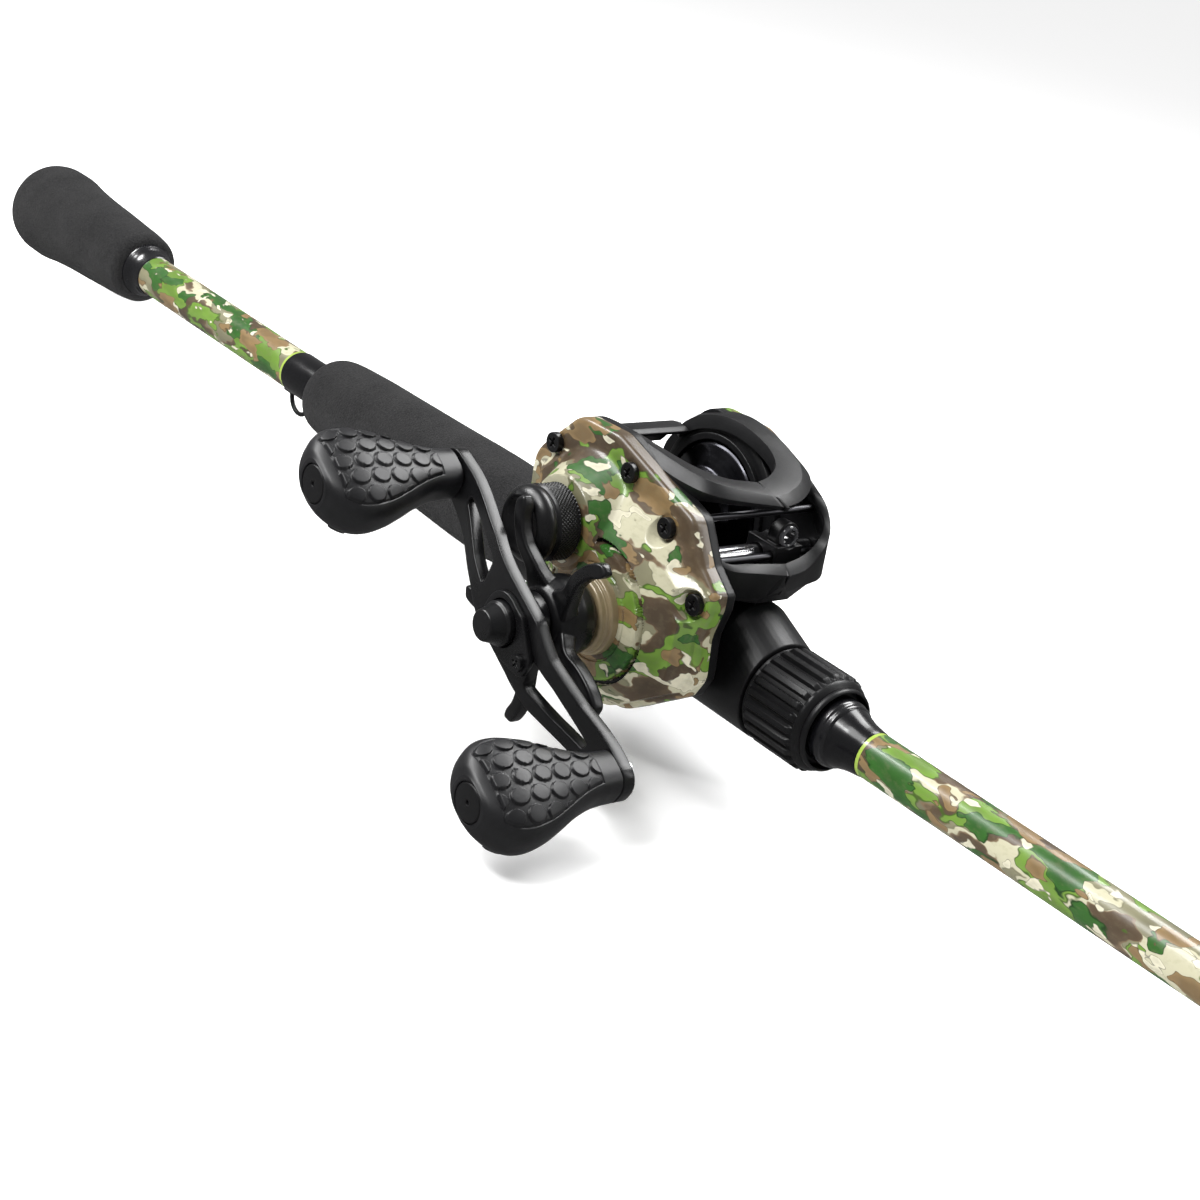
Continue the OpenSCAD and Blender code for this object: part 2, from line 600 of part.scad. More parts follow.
// Flat outline of the arm, and the window through each half
module arm_2d() polygon(rounded(concat(arm_edge, [for (p = arm_edge) [-p[0], -p[1], p[2]]])));
module arm_slot() polygon(rounded([[11.6, 1.9, 1.1], [20, 1.5, 10], [33.8, -1, 1], [33.4, -3.4, 1], [24, -4.8, 10],
    [13.5, -5.7, 1.6]]));

// Flat bowed arm: the outline across, and the bent thickness along it
module handle_arm() color("#1b1b1e") at_handle() difference() {
    intersection() {
        slab_y(arm_out - 1, -40) arm_2d();
        translate([0, 0, -20]) linear_extrude(40) polygon(concat(bow_out, bow_in,
            [for (i = [2:-1:0]) [-bow_in[i][0], bow_in[i][1]]], [for (i = [2:-1:0]) [-bow_out[i][0], bow_out[i][1]]]));
    }
    rod_y(-60, -50, shaft_r);
    for (a = [0, 180]) rotate([0, a, 0]) {
        slab_y(-60, -40) arm_slot();
        translate([knob_r, 0, 0]) rod_y(-60, -40, post_r);
    }
    translate([retainer_spot[0], 0, retainer_spot[1]]) rod_y(-60, -40, 1);
}

module handle_nut() color("#26262a") at_crank() difference() {
    union() {
        slab_y(nut_face, arm_out) circle(r = 5.4, $fn = 6);
        turned_y([[0, nut_face - 3.7], [3.6, nut_face - 3.7], [4.6, nut_face], [0, nut_face]]);
    }
    rod_y(shaft_end, arm_out + 1, shaft_r);
}

module nut_retainer() color("#202023") at_handle() slab_y(arm_out - retainer_t, arm_out) difference() {
    polygon(rounded([[7, 7, 6], [7, -7, 6], [-4, -7, 3], [-13.4, -2, 2.4], [-13.4, 3.4, 2.4], [-4, 7, 3]]));
    circle(r = 5.6);
    translate(retainer_spot) circle(r = 1);
}

module retainer_screw() color("#2a2a2e") at_handle() translate([retainer_spot[0], 0, retainer_spot[1]]) {
    rod_y(arm_out - retainer_t, arm_out + arm_t, 1);
    difference() {
        rod_y(arm_out - 2.7, arm_out - retainer_t, 2);
        for (a = [0, 90]) rotate([0, a, 0]) box([-1.2, arm_out - 4, -0.25], [1.2, arm_out - 2.2, 0.25]);
    }
}

module at_knob(s) at_handle() translate([s * knob_r, 0, 0]) children();

module knob_posts() color("silver") for (s = [1, -1]) at_knob(s) {
    rod_y(knob_end_y + 3.5, arm_end_y + arm_t, post_r);
    rod_y(arm_end_y + arm_t, arm_end_y + arm_t + 1, 3.6);
}

module knob_slice(y, a, b) translate([0, y, 0]) rotate([90, 0, 0]) scale([a, b, 1]) cylinder(h = 0.5, r = 1, $fn = 32);

// Paddle knob on its post, flared and rounded at the free end
module paddle(s) at_knob(s) difference() {
    hull() {
        knob_slice(knob_base_y, 6, 6);
        knob_slice(knob_base_y - 10, 9, 7);
        knob_slice(knob_base_y - 24, 12.8, 8);
        knob_slice(knob_end_y + 4, 11, 7.4);
        knob_slice(knob_end_y + 0.5, 6.4, 5.2);
    }
    rod_y(knob_end_y + 3, knob_base_y + 1, post_r + run);
    rod_y(knob_end_y - 1, knob_end_y + 1.4, 4.5);
}
module paddle_cap(s) at_knob(s) turned_y([[0.5, knob_end_y + 1], [0.5, knob_end_y], [4.3, knob_end_y],
    [4.5, knob_end_y + 0.3], [4.5, knob_end_y + 1.4], [0, knob_end_y + 1.4], [0, knob_end_y + 1]]);

module knob_a() color("#1d1d1f") paddle(1);
module knob_b() color("#1d1d1f") paddle(-1);
module knob_cap_a() color("#1a1a1c") paddle_cap(1);
module knob_cap_b() color("#1a1a1c") paddle_cap(-1);

rod_blank();
butt_cap();
rear_grip();
rear_check();
hook_keeper();
keeper_wrap();
fore_grip();
reel_seat();
seat_hood();
seat_nut();
front_check();
front_trim();
guide_1();
guide_2();
guide_3();
guide_4();
guide_5();
guide_6();
guide_7();
guide_8();
tip_top();
guide_rings();
guide_wraps();
reel_frame();
front_hood();
gear_side_plate();
palm_side_plate();
side_plate_screws();
spool();
spool_shaft();
spool_bearings();
pinion_gear();
main_gear();
drive_shaft();
shaft_bearing();
one_way_clutch();
crank_collar();
drag_washers();
level_wind_gear();
idler_gear();
frame_pins();
worm_shaft();
line_guide();
guide_eyelet();
guide_bars();
clutch_yoke();
thumb_bar();
brake_dial();
brake_magnets();
tension_knob();
star_drag();
arm_spacer();
handle_arm();
handle_nut();
nut_retainer();
retainer_screw();
knob_posts();
knob_a();
knob_b();
knob_cap_a();
knob_cap_b();
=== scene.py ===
import json
import math
import bmesh
import bpy
import numpy as np
from mathutils import Matrix, Vector


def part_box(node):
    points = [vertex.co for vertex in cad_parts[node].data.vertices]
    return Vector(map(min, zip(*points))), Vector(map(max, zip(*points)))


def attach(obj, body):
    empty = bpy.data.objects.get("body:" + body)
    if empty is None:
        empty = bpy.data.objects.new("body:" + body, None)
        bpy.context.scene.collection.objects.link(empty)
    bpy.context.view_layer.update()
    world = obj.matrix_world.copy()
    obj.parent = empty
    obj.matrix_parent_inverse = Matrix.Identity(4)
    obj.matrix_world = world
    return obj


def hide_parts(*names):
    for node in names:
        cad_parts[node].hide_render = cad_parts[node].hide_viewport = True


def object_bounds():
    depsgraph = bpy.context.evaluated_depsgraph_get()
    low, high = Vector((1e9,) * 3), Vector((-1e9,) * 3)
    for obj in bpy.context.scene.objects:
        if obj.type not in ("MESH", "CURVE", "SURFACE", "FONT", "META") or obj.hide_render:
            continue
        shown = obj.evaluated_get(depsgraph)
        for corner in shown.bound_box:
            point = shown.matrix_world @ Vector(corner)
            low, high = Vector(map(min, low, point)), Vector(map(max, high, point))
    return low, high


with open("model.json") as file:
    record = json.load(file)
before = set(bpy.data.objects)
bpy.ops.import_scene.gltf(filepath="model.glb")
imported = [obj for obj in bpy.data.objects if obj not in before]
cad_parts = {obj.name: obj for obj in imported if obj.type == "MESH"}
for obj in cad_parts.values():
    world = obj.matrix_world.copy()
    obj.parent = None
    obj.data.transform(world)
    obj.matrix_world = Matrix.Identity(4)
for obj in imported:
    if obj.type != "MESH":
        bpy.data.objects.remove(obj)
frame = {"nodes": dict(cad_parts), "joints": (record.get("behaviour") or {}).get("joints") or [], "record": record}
cad_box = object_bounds()


# ---------------------------------------------------------------- places, in millimetres
MM = 0.001
nodes = frame["nodes"]
joint = {j["name"]: j for j in frame["joints"]}


def axis_of(name):
    """The point that a joint turns about, in millimetres."""
    return Vector(joint[name]["pos_m"]) / MM


CRANK = axis_of("crank_spin")
SPOOL = axis_of("spool_spin")
KNOB = {"a": axis_of("knob_a_spin"), "b": axis_of("knob_b_spin")}
ARM_X = (KNOB["a"] - CRANK).normalized()
ARM_Z = Vector((-ARM_X.z, 0, ARM_X.x))
KNOB_R = (KNOB["a"] - CRANK).length
ON_CRANK, ON_SPOOL = (CRANK.x, 0, CRANK.z), (SPOOL.x, 0, SPOOL.z)


def span(node, axis):
    """A CAD node's lowest and highest place along one axis, in millimetres."""
    low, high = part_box(node)
    return low[axis] / MM, high[axis] / MM


# ---------------------------------------------------------------- mesh building
def unit(v):
    return v / max(v.length, 1e-9)


def build(name, parts, smooth_angle=40):
    """One mesh object from (vertices in mm, faces) parts, with its normals facing out."""
    verts, faces = [], []
    for v, f in parts:
        start = len(verts)
        verts += [Vector(p) * MM for p in v]
        faces += [[i + start for i in face] for face in f]
    mesh = bpy.data.meshes.new(name)
    mesh.from_pydata(verts, [], faces)
    bm = bmesh.new()
    bm.from_mesh(mesh)
    bmesh.ops.remove_doubles(bm, verts=bm.verts, dist=1e-7)
    bmesh.ops.recalc_face_normals(bm, faces=bm.faces)
    bm.to_mesh(mesh)
    bm.free()
    obj = bpy.data.objects.new(name, mesh)
    bpy.context.scene.collection.objects.link(obj)
    shade(obj, smooth_angle)
    return obj


def shade(obj, angle=40):
    mesh = obj.data
    mesh.polygons.foreach_set("use_smooth", [True] * len(mesh.polygons))
    mesh.set_sharp_from_angle(angle=math.radians(angle))


def apply_modifiers(obj):
    mesh = bpy.data.meshes.new_from_object(obj.evaluated_get(bpy.context.evaluated_depsgraph_get()))
    obj.modifiers.clear()
    obj.data = mesh
    return obj


def bevel(obj, width, segments=3, angle=30):
    """Rounds every edge sharper than angle. Width is in millimetres."""
    mod = obj.modifiers.new("bevel", "BEVEL")
    mod.width = width * MM
    mod.segments = segments
    mod.limit_method = "ANGLE"
    mod.angle_limit = math.radians(angle)
    mod.harden_normals = False
    apply_modifiers(obj)
    shade(obj)
    return obj


def fuse(obj, voxel, rounds=4):
    """Joins overlapping shapes into one skin and rounds their edges. Voxel is in millimetres."""
    mod = obj.modifiers.new("remesh", "REMESH")
    mod.mode = "VOXEL"
    mod.voxel_size = voxel * MM
    mod.use_smooth_shade = True
    mod = obj.modifiers.new("smooth", "SMOOTH")
    mod.factor = 0.5
    mod.iterations = rounds
    return apply_modifiers(obj)


def softened(node, voxel, rounds=4):
    """A copy of a CAD node with its edges rounded, as a moulding's or a casting's are."""
    obj = bpy.data.objects.new(node + "_soft", nodes[node].data.copy())
    bpy.context.scene.collection.objects.link(obj)
    return fuse(obj, voxel, rounds)


def stitch(rings, closed=True, loop=False):
    """Faces between rings of points. A closed tube gets end caps unless it loops."""
    n = len(rings[0])
    verts = [p for ring in rings for p in ring]
    faces = []
    for k in range(len(rings) if loop else len(rings) - 1):
        a, b = k * n, (k + 1) % len(rings) * n
        for i in range(n if closed else n - 1):
            j = (i + 1) % n
            faces.append((a + i, a + j, b + j, b + i))
    if closed and not loop:
        faces.append(list(range(n))[::-1])
        faces.append(list(range(len(verts) - n, len(verts))))
    return verts, faces


def spline(points, steps):
    """A smooth curve through the points (any number of coordinates)."""
    p = np.array(points, float)
    p = np.vstack([2 * p[0] - p[1], p, 2 * p[-1] - p[-2]])
    out = []
    for k in range(1, len(p) - 2):
        for t in np.linspace(0, 1, steps, endpoint=False):
            out.append(0.5 * (2 * p[k] + (p[k + 1] - p[k - 1]) * t
                       + (2 * p[k - 1] - 5 * p[k] + 4 * p[k + 1] - p[k + 2]) * t * t
                       + (3 * p[k] - p[k - 1] - 3 * p[k + 1] + p[k + 2]) * t ** 3))
    out.append(p[-2])
    return np.array(out)


def rounded(corners, steps=8):
    """A closed outline with each corner (x, y, radius) rounded by an arc."""
    out = []
    for i, (x, y, r) in enumerate(corners):
        c = Vector((x, y))
        u = unit(Vector(corners[i - 1][:2]) - c)
        w = unit(Vector(corners[(i + 1) % len(corners)][:2]) - c)
        half = math.acos(max(-1, min(1, u.dot(w)))) / 2
        mid = c + unit(u + w) * r / math.sin(half)
        a = c + u * r / math.tan(half) - mid
        b = c + w * r / math.tan(half) - mid
        turn = a.angle_signed(b)
        for k in range(steps + 1):
            out.append(mid + Matrix.Rotation(-turn * k / steps, 2) @ a)
    return out


def resample(outline, count):
    """The outline at evenly spaced points."""
    p = np.array([tuple(q) for q in outline])
    p = np.vstack([p, p[0]])
    s = np.concatenate([[0], np.cumsum(np.linalg.norm(np.diff(p, axis=0), axis=1))])
    t = np.linspace(0, s[-1], count, endpoint=False)
    return np.column_stack([np.interp(t, s, p[:, 0]), np.interp(t, s, p[:, 1])])


def turned(profile, axis="X", origin=(0, 0, 0), count=96, shape=None):
    """A solid of revolution. Profile points are (radius, place along the axis), and
    shape(radius, place, angle) may change the radius. A profile off the axis closes as a ring."""
    o = Vector(origin)
    rings = []
    for r, h in profile:
        ring = []
        for i in range(count):
            a = 2 * math.pi * i / count
            q = shape(r, h, a) if shape and r > 0 else r
            c, s = q * math.cos(a), q * math.sin(a)
            ring.append(o + (Vector((h, c, s)) if axis == "X" else Vector((c, h, s))))
        rings.append(ring)
    return stitch(rings, loop=min(profile[0][0], profile[-1][0]) > 1e-6)


def fillet(profile, r=0.3, steps=3):
    """Rounds the corners of a turned profile."""
    out = [profile[0]]
    for a, b, c in zip(profile, profile[1:], profile[2:]):
        a, b, c = Vector(a), Vector(b), Vector(c)
        cut = min(r, (a - b).length * 0.45, (c - b).length * 0.45)
        if cut < 1e-4:
            out.append(tuple(b))
            continue
        p, q = b + unit(a - b) * cut, b + unit(c - b) * cut
        for k in range(steps + 1):
            t = k / steps
            out.append(tuple(p * (1 - t) ** 2 + b * 2 * t * (1 - t) + q * t * t))
    return out + [profile[-1]]


# where the CAD blank's taper changes, and its radius at the butt, there and at the tip
KNEE_X = CRANK.x + 172
BUTT_R, KNEE_R, TIP_R = 6.62, 5.28, 0.95


def blank_r(x):
    """The blank's radius, from the CAD blank's two straight tapers."""
    return float(np.interp(x, [0, KNEE_X, span("rod_blank", 0)[1]], [BUTT_R, KNEE_R, TIP_R]))


def smoothstep(a, b, x):
    t = np.clip((np.asarray(x, float) - a) / (b - a), 0, 1)
    return t * t * (3 - 2 * t)


def smooth_max(a, b, k):
    """The larger of two heights, blended over about k."""
    h = np.clip(0.5 + 0.5 * (a - b) / k, 0, 1)
    return b * (1 - h) + a * h + k * h * (1 - h)


# ---------------------------------------------------------------- materials
class Shader:
    """A short way to write a material's nodes. Inputs may be sockets, numbers or colours."""

    def __init__(self, name):
        self.material = bpy.data.materials.new(name)
        self.material.use_nodes = True
        self.tree = self.material.node_tree
        self.out = self.tree.nodes["Principled BSDF"]
        self.place = self.node("ShaderNodeTexCoord").outputs["Object"]

    def node(self, kind, links=(), **values):
        n = self.tree.nodes.new(kind)
        for key, value in values.items():
            setattr(n, key, value)
        for key, value in dict(links).items():
            self.feed(n.inputs[key], value)
        return n

    def feed(self, socket, value):
        if isinstance(value, bpy.types.NodeSocket):
            self.tree.links.new(value, socket)
        elif isinstance(value, tuple) and len(value) == 3 and socket.type == "RGBA":
            socket.default_value = (*value, 1)
        else:
            socket.default_value = value

    def set(self, **values):
        for key, value in values.items():
            self.feed(self.out.inputs[key.replace("_", " ")], value)
        return self

    def scaled(self, scale):
        """Object coordinates times scale."""
        return self.node("ShaderNodeMapping", {"Vector": self.place, "Scale": scale}).outputs[0]

    def noise(self, size, detail=3.0, rough=0.55, source=None, colour=False):
        """Noise with features of about size millimetres."""
        n = self.node("ShaderNodeTexNoise", {"Vector": source or self.place, "Scale": 1 / (size * MM),
                                             "Detail": detail, "Roughness": rough})
        return n.outputs["Color" if colour else "Fac"]

    def cells(self, size):
        """The distance to the nearest of cell centres about size millimetres apart."""
        n = self.node("ShaderNodeTexVoronoi", {"Vector": self.place, "Scale": 1 / (size * MM)},
                      feature="F1")
        return n.outputs["Distance"]

    def ramp(self, value, low, high, start=0.0, end=1.0):
        n = self.node("ShaderNodeMapRange", {"Value": value, "From Min": low, "From Max": high,
                                             "To Min": start, "To Max": end})
        return n.outputs[0]

    def mix(self, factor, a, b):
        n = self.node("ShaderNodeMix", data_type="RGBA")
        self.feed(n.inputs["Factor"], factor)
        self.feed(n.inputs[6], a)
        self.feed(n.inputs[7], b)
        return n.outputs[2]

    def math(self, kind, a, b=0.0):
        return self.node("ShaderNodeMath", {0: a, 1: b}, operation=kind).outputs[0]

    def bump(self, height, depth, previous=None):
        """A bump of depth millimetres."""
        links = {"Height": height, "Distance": depth * MM, "Strength": 1.0}
        if previous:
            links["Normal"] = previous
        return self.node("ShaderNodeBump", links).outputs[0]


def moulded(name, colour, rough, grain=0.35, depth=0.02, coat=0.0, metal=0.0, spread=0.35, specular=0.5):
    """Plastic, anodised or painted metal: fine grain, uneven gloss and slightly uneven colour."""
    s = Shader(name)
    fine = s.noise(grain, 2.0)
    broad = s.noise(9.0, 4.0)
    dark = tuple(c * (1 - spread * 0.5) for c in colour)
    light = tuple(min(1, c * (1 + spread)) for c in colour)
    s.set(Base_Color=s.mix(s.ramp(broad, 0.3, 0.7), dark, light))
    s.set(Roughness=s.ramp(s.math("ADD", s.math("MULTIPLY", broad, 0.6), s.math("MULTIPLY", fine, 0.4)),
                           0.3, 0.7, rough * 0.82, min(1, rough * 1.18)))
    s.set(Metallic=metal, Coat_Weight=coat, Coat_Roughness=0.06, Specular_IOR_Level=specular)
    s.set(Normal=s.bump(fine, depth))
    return s.material


def foam(name):
    """Closed-cell EVA: near-black, fully matt, with fine open pores and a faint cloudiness."""
    s = Shader(name)
    pores = s.cells(0.55)
    crumbs = s.noise(0.4, 3.0, 0.7)
    cloud = s.noise(14.0, 3.0)
    tone = s.mix(s.ramp(crumbs, 0.42, 0.68), (0.006, 0.006, 0.0065), (0.028, 0.0275, 0.028))
    s.set(Base_Color=s.mix(s.ramp(cloud, 0.35, 0.7, 0.0, 0.35), tone, (0.032, 0.0315, 0.032)))
    s.set(Roughness=s.ramp(crumbs, 0.3, 0.7, 0.86, 0.98))
    s.set(Specular_IOR_Level=0.12, Sheen_Weight=0.03, Sheen_Roughness=0.6)
    s.set(Normal=s.bump(crumbs, 0.28, s.bump(pores, 0.14)))
    return s.material


def camouflage(name, size, stretch=(1.9, 1, 1), gloss=0.2, bare=0.0):
    """Layered bark-like streaks with thin edges, under a clear coat. Size is a streak's height in
    millimetres, stretch is how much longer it runs along each axis, and bare thins out the green."""
    s = Shader(name)
    place = s.scaled(tuple(1 / k for k in stretch))
    warp = s.noise(size * 0.55, 2.0, 0.5, place, colour=True)
    shift = s.node("ShaderNodeVectorMath", {0: warp, 1: (0.5, 0.5, 0.5)}, operation="SUBTRACT").outputs[0]
    push = s.node("ShaderNodeVectorMath", {0: shift, "Scale": size * 0.75 * MM},
                  operation="SCALE").outputs[0]
    wavy = s.node("ShaderNodeVectorMath", {0: place, 1: push}, operation="ADD").outputs[0]
    # tint, patch size, level above which it shows, offset, how dark its edge is
    layers = [((0.20, 0.19, 0.115), 1.1, 0.49, 3.1, 0.8),
              ((0.085, 0.058, 0.034), 1.25, 0.495, 0.0, 1.9),
              ((0.135, 0.25, 0.035), 1.0, 0.53 + bare, 3.7, 0.35),
              ((0.028, 0.105, 0.016), 0.9, 0.57 + bare, 5.3, 0.4),
              ((0.60, 0.57, 0.43), 0.5, 0.645, 9.2, 0.35),
              ((0.22, 0.145, 0.065), 0.7, 0.60, 7.1, 0.4)]
    colour = (0.46, 0.44, 0.31)
    for tint, share, level, offset, edge_tone in layers:
        moved = s.node("ShaderNodeVectorMath", {0: wavy, 1: (offset, offset * 0.7, -offset)},
                       operation="ADD").outputs[0]
        patch = s.noise(size * share, 1.2, 0.4, moved)
        edge = s.mix(s.ramp(patch, level - 0.010, level), colour,
                     tuple(min(0.9, c * edge_tone) for c in tint))
        tone = s.mix(s.ramp(patch, level + 0.01, level + 0.14), tint, tuple(c * 0.72 for c in tint))
        colour = s.mix(s.ramp(patch, level + 0.004, level + 0.014), edge, tone)
    veins = s.noise(size * 0.16, 3.0, 0.6, place)
    colour = s.mix(s.ramp(veins, 0.5, 0.72, 0.0, 0.22), colour, (0.16, 0.14, 0.075))
    s.set(Base_Color=colour, Roughness=s.ramp(veins, 0.3, 0.7, gloss + 0.12, gloss + 0.24))
    s.set(Coat_Weight=0.35, Coat_Roughness=0.14, Specular_IOR_Level=0.35)
    s.set(Normal=s.bump(s.noise(3.0, 2.0), 0.02))
    return s.material


WAVE = 6.28  # how many units of a wave texture's scale one wave takes


def turned_metal(name, colour, rough, axis, pitch=0.3, depth=0.006):
    """Lathe-turned metal: fine rings around the axis and small scratches."""
    s = Shader(name)
    rings = s.node("ShaderNodeTexWave", {"Vector": s.place, "Scale": 1 / (pitch * MM * WAVE),
                                         "Distortion": 0.6, "Detail": 2.0},
                   wave_type="BANDS", bands_direction=axis).outputs["Fac"]
    wear = s.noise(4.0, 5.0)
    s.set(Base_Color=s.mix(s.ramp(wear, 0.3, 0.7), tuple(c * 0.8 for c in colour), colour))
    s.set(Metallic=1.0, Roughness=s.ramp(wear, 0.3, 0.7, rough * 0.8, rough * 1.25))
    s.set(Normal=s.bump(rings, depth))
    return s.material


def thread_wrap(name):
    """Black winding thread under epoxy: fine turns around the blank, glossy on top."""
    s = Shader(name)
    turns = s.node("ShaderNodeTexWave", {"Vector": s.place, "Scale": 1 / (0.25 * MM * WAVE),
                                         "Distortion": 0.3},
                   wave_type="BANDS", bands_direction="X").outputs["Fac"]
    uneven = s.noise(5.0, 2.0)
    s.set(Base_Color=s.mix(turns, (0.003, 0.003, 0.0035), (0.006, 0.006, 0.007)))
    s.set(Roughness=s.ramp(uneven, 0.3, 0.7, 0.18, 0.26), Coat_Weight=0.1, Coat_Roughness=0.06)
    s.set(Normal=s.bump(uneven, 0.006), Specular_IOR_Level=0.3)
    return s.material


LOOK = {
    "camo_blank": camouflage("blank_camouflage", 7.5, (1.9, 1, 1), 0.16),
    "camo_plate": camouflage("plate_camouflage", 8, bare=0.035),
    "eva_foam": foam("eva_foam"),
    "soft_rubber": moulded("soft_rubber", (0.0065, 0.0065, 0.0075), 0.42, 0.25, 0.012, specular=0.4),
    "black_plastic": moulded("black_plastic", (0.0045, 0.0045, 0.005), 0.40, 0.3, 0.018, specular=0.3),
    "gloss_black": thread_wrap("wrap_lacquer"),
    "black_metal": moulded("black_metal", (0.0045, 0.0045, 0.005), 0.30, 0.22, 0.008, specular=0.38),
    "dark_aluminium": turned_metal("spool_metal", (0.035, 0.035, 0.04), 0.22, "Y"),
    "stainless": turned_metal("turned_steel", (0.62, 0.62, 0.64), 0.22, "Y"),
    "brass_gear": turned_metal("gear_brass", (0.72, 0.52, 0.22), 0.25, "Y"),
    "ivory_nylon": moulded("ivory_nylon", (0.68, 0.64, 0.52), 0.42, 0.5, 0.02, spread=0.08),
    "bronze_ring": moulded("bronze_ring", (0.22, 0.17, 0.095), 0.40, 0.2, 0.012, metal=0.15, coat=0.4,
                           spread=0.15),
    "ceramic": moulded("ring_ceramic", (0.035, 0.035, 0.038), 0.08, 1.0, 0.004, coat=0.5),
    "screw_black": moulded("screw_black", (0.02, 0.02, 0.022), 0.14, 0.3, 0.006, coat=0.6, metal=0.6),
}
slot_of = {p["node"]: p["material_slot"] for p in frame["record"]["subparts"]}
for name, obj in nodes.items():
    obj.data.materials.clear()
    obj.data.materials.append(LOOK[slot_of[name]])
    shade(obj, 30)


def add(obj, body, slot, *replaced, look=None):
    """Gives a new piece its material (the slot's look, unless it already has one), hangs it on its body's empty
    and hides the CAD nodes it stands for.
    """
    if not obj.data.materials:
        obj.data.materials.append(look or LOOK[slot])
    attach(obj, body)
    if replaced:
        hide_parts(*replaced)
    return obj


# ---------------------------------------------------------------- the rod
def blank():
    """The tapered blank: camouflage where it shows, black under the fittings, lime lines between."""
    rear, front = span("rear_check", 0)[1], span("keeper_wrap", 0)[0]
    ahead = span("front_trim", 0)[1]
    low, tip = span("rod_blank", 0)
    line = 0.9
    stops = [low, rear, front - line, front, ahead, ahead + line, 470, 560, 700, 900, 1100, 1300, 1500,
             1700, 1850, 1950, 2050, tip]
    profile = [(0, low)] + [(blank_r(x), x) for x in stops] + [(0, tip)]
    obj = build("blank", [turned(profile, count=72)])
    lime = moulded("lime_line", (0.30, 0.42, 0.06), 0.3, coat=0.8, spread=0.1)
    for m in (LOOK["camo_blank"], LOOK["gloss_black"], lime):
        obj.data.materials.append(m)
    for p in obj.data.polygons:
        x = p.center.x / MM
        if front - line < x < front or ahead < x < ahead + line:
            p.material_index = 2
        elif x < rear or front < x < ahead:
            p.material_index = 1
    return add(obj, "rod", "camo_blank", "rod_blank")


def rear_grip():
    """A foam grip, widest at the butt, that narrows in a long taper to a rounded front rim."""
    x0, x1 = span("rear_grip", 0)
    r = span("rear_grip", 2)[1]
    body = spline([(r - 0.3, x0), (r - 0.03, x0 + 1.8), (r, x0 + 5), (r - 0.05, x0 + 10),
                   (r - 0.8, x0 + 16), (r - 1.45, x0 + 23), (r - 1.95, x0 + 30), (r - 2.75, x1 - 25),
                   (r - 3.25, x1 - 17), (r - 3.75, x1 - 8), (r - 4.35, x1 - 2.6)], 6)
    profile = [(7.4, x0)] + [tuple(p) for p in body] + [(r - 5.4, x1 - 0.7), (r - 6.6, x1), (7.4, x1)]
    add(build("rear_grip_foam", [turned(profile)]), "rod", "eva_foam", "rear_grip")
    dome = fillet([(0, 0.3), (2.0, 0.3), (2.6, 0), (12.2, 0), (14.2, 0.9), (15.2, 2.3), (15.6, x0),
                   (0, x0)], 0.8)
    add(build("butt_cap_rubber", [turned(dome)]), "rod", "soft_rubber", "butt_cap")


def fore_grip():
    """A foam grip that widens towards the seat, with a round rear end."""
    x0, x1 = span("fore_grip", 0)
    r = span("fore_grip", 2)[1]
    body = spline([(8.9, x0 + 0.2), (10.4, x0 + 1), (11.5, x0 + 3.2), (12.1, x0 + 8), (12.45, x0 + 15),
                   (12.75, x0 + 23), (13.05, x0 + 40), (13.45, x0 + 62), (r - 0.02, x0 + 78),
                   (r - 0.02, x1 - 15), (r - 0.95, x1 - 4.2), (r - 1.6, x1 - 0.5)], 6)
    profile = [(6.4, x0 + 3), (7.6, x0 + 2.6), (8.2, x0 + 1)]
    profile += [tuple(p) for p in body] + [(r - 2.4, x1), (6.4, x1)]
    add(build("fore_grip_foam", [turned(profile)]), "rod", "eva_foam", "fore_grip")


def rod_trim():
    """Winding checks and the glossy trim wraps at both ends of the camouflage."""
    x0, x1 = span("rear_check", 0)
    slope = spline([(8.9, x0), (8.85, x0 + 3.2), (8.3, x0 + 4.4), (7.4, x0 + 5.8), (6.95, x0 + 7.4),
                    (6.75, x1 - 0.3)], 6)
    check = [(6.4, x0)] + [tuple(p) for p in slope] + [(6.4, x1)]
    gloss = moulded("check_gloss", (0.004, 0.004, 0.005), 0.24, coat=0.3)
    add(build("rear_winding_check", [turned(check)]), "rod", "gloss_black", "rear_check", look=gloss)
    x0, x1 = span("keeper_wrap", 0)
    wrap = fillet([(5.8, x0), (blank_r(x0) + 0.06, x0), (blank_r(x0) + 0.3, x0 + 0.8),
                   (blank_r(x1) + 0.3, x1), (5.8, x1)], 0.3)
    add(build("keeper_thread", [turned(wrap)]), "rod", "gloss_black", "keeper_wrap")
    x0, x1 = span("front_check", 0)
    ring = fillet([(5.3, x0), (8.3, x0), (8.3, x0 + 3.6), (7.9, x0 + 4.1), (7.9, x1 - 0.6), (7.3, x1),
                   (5.3, x1)], 0.3)
    add(build("front_winding_check", [turned(ring)]), "rod", "gloss_black", "front_check",
        look=gloss)
    x0, x1 = span("front_trim", 0)
    cone = spline([(7.35, x0), (6.95, x0 + 1.3), (6.35, x0 + 3.4), (5.98, x0 + 5.6), (5.75, x1 - 0.6),
                   (blank_r(x1) + 0.05, x1)], 5)
    add(build("front_trim_thread", [turned([(5.0, x0)] + [tuple(p) for p in cone] + [(5.0, x1)])]), "rod",
        "gloss_black", "front_trim")


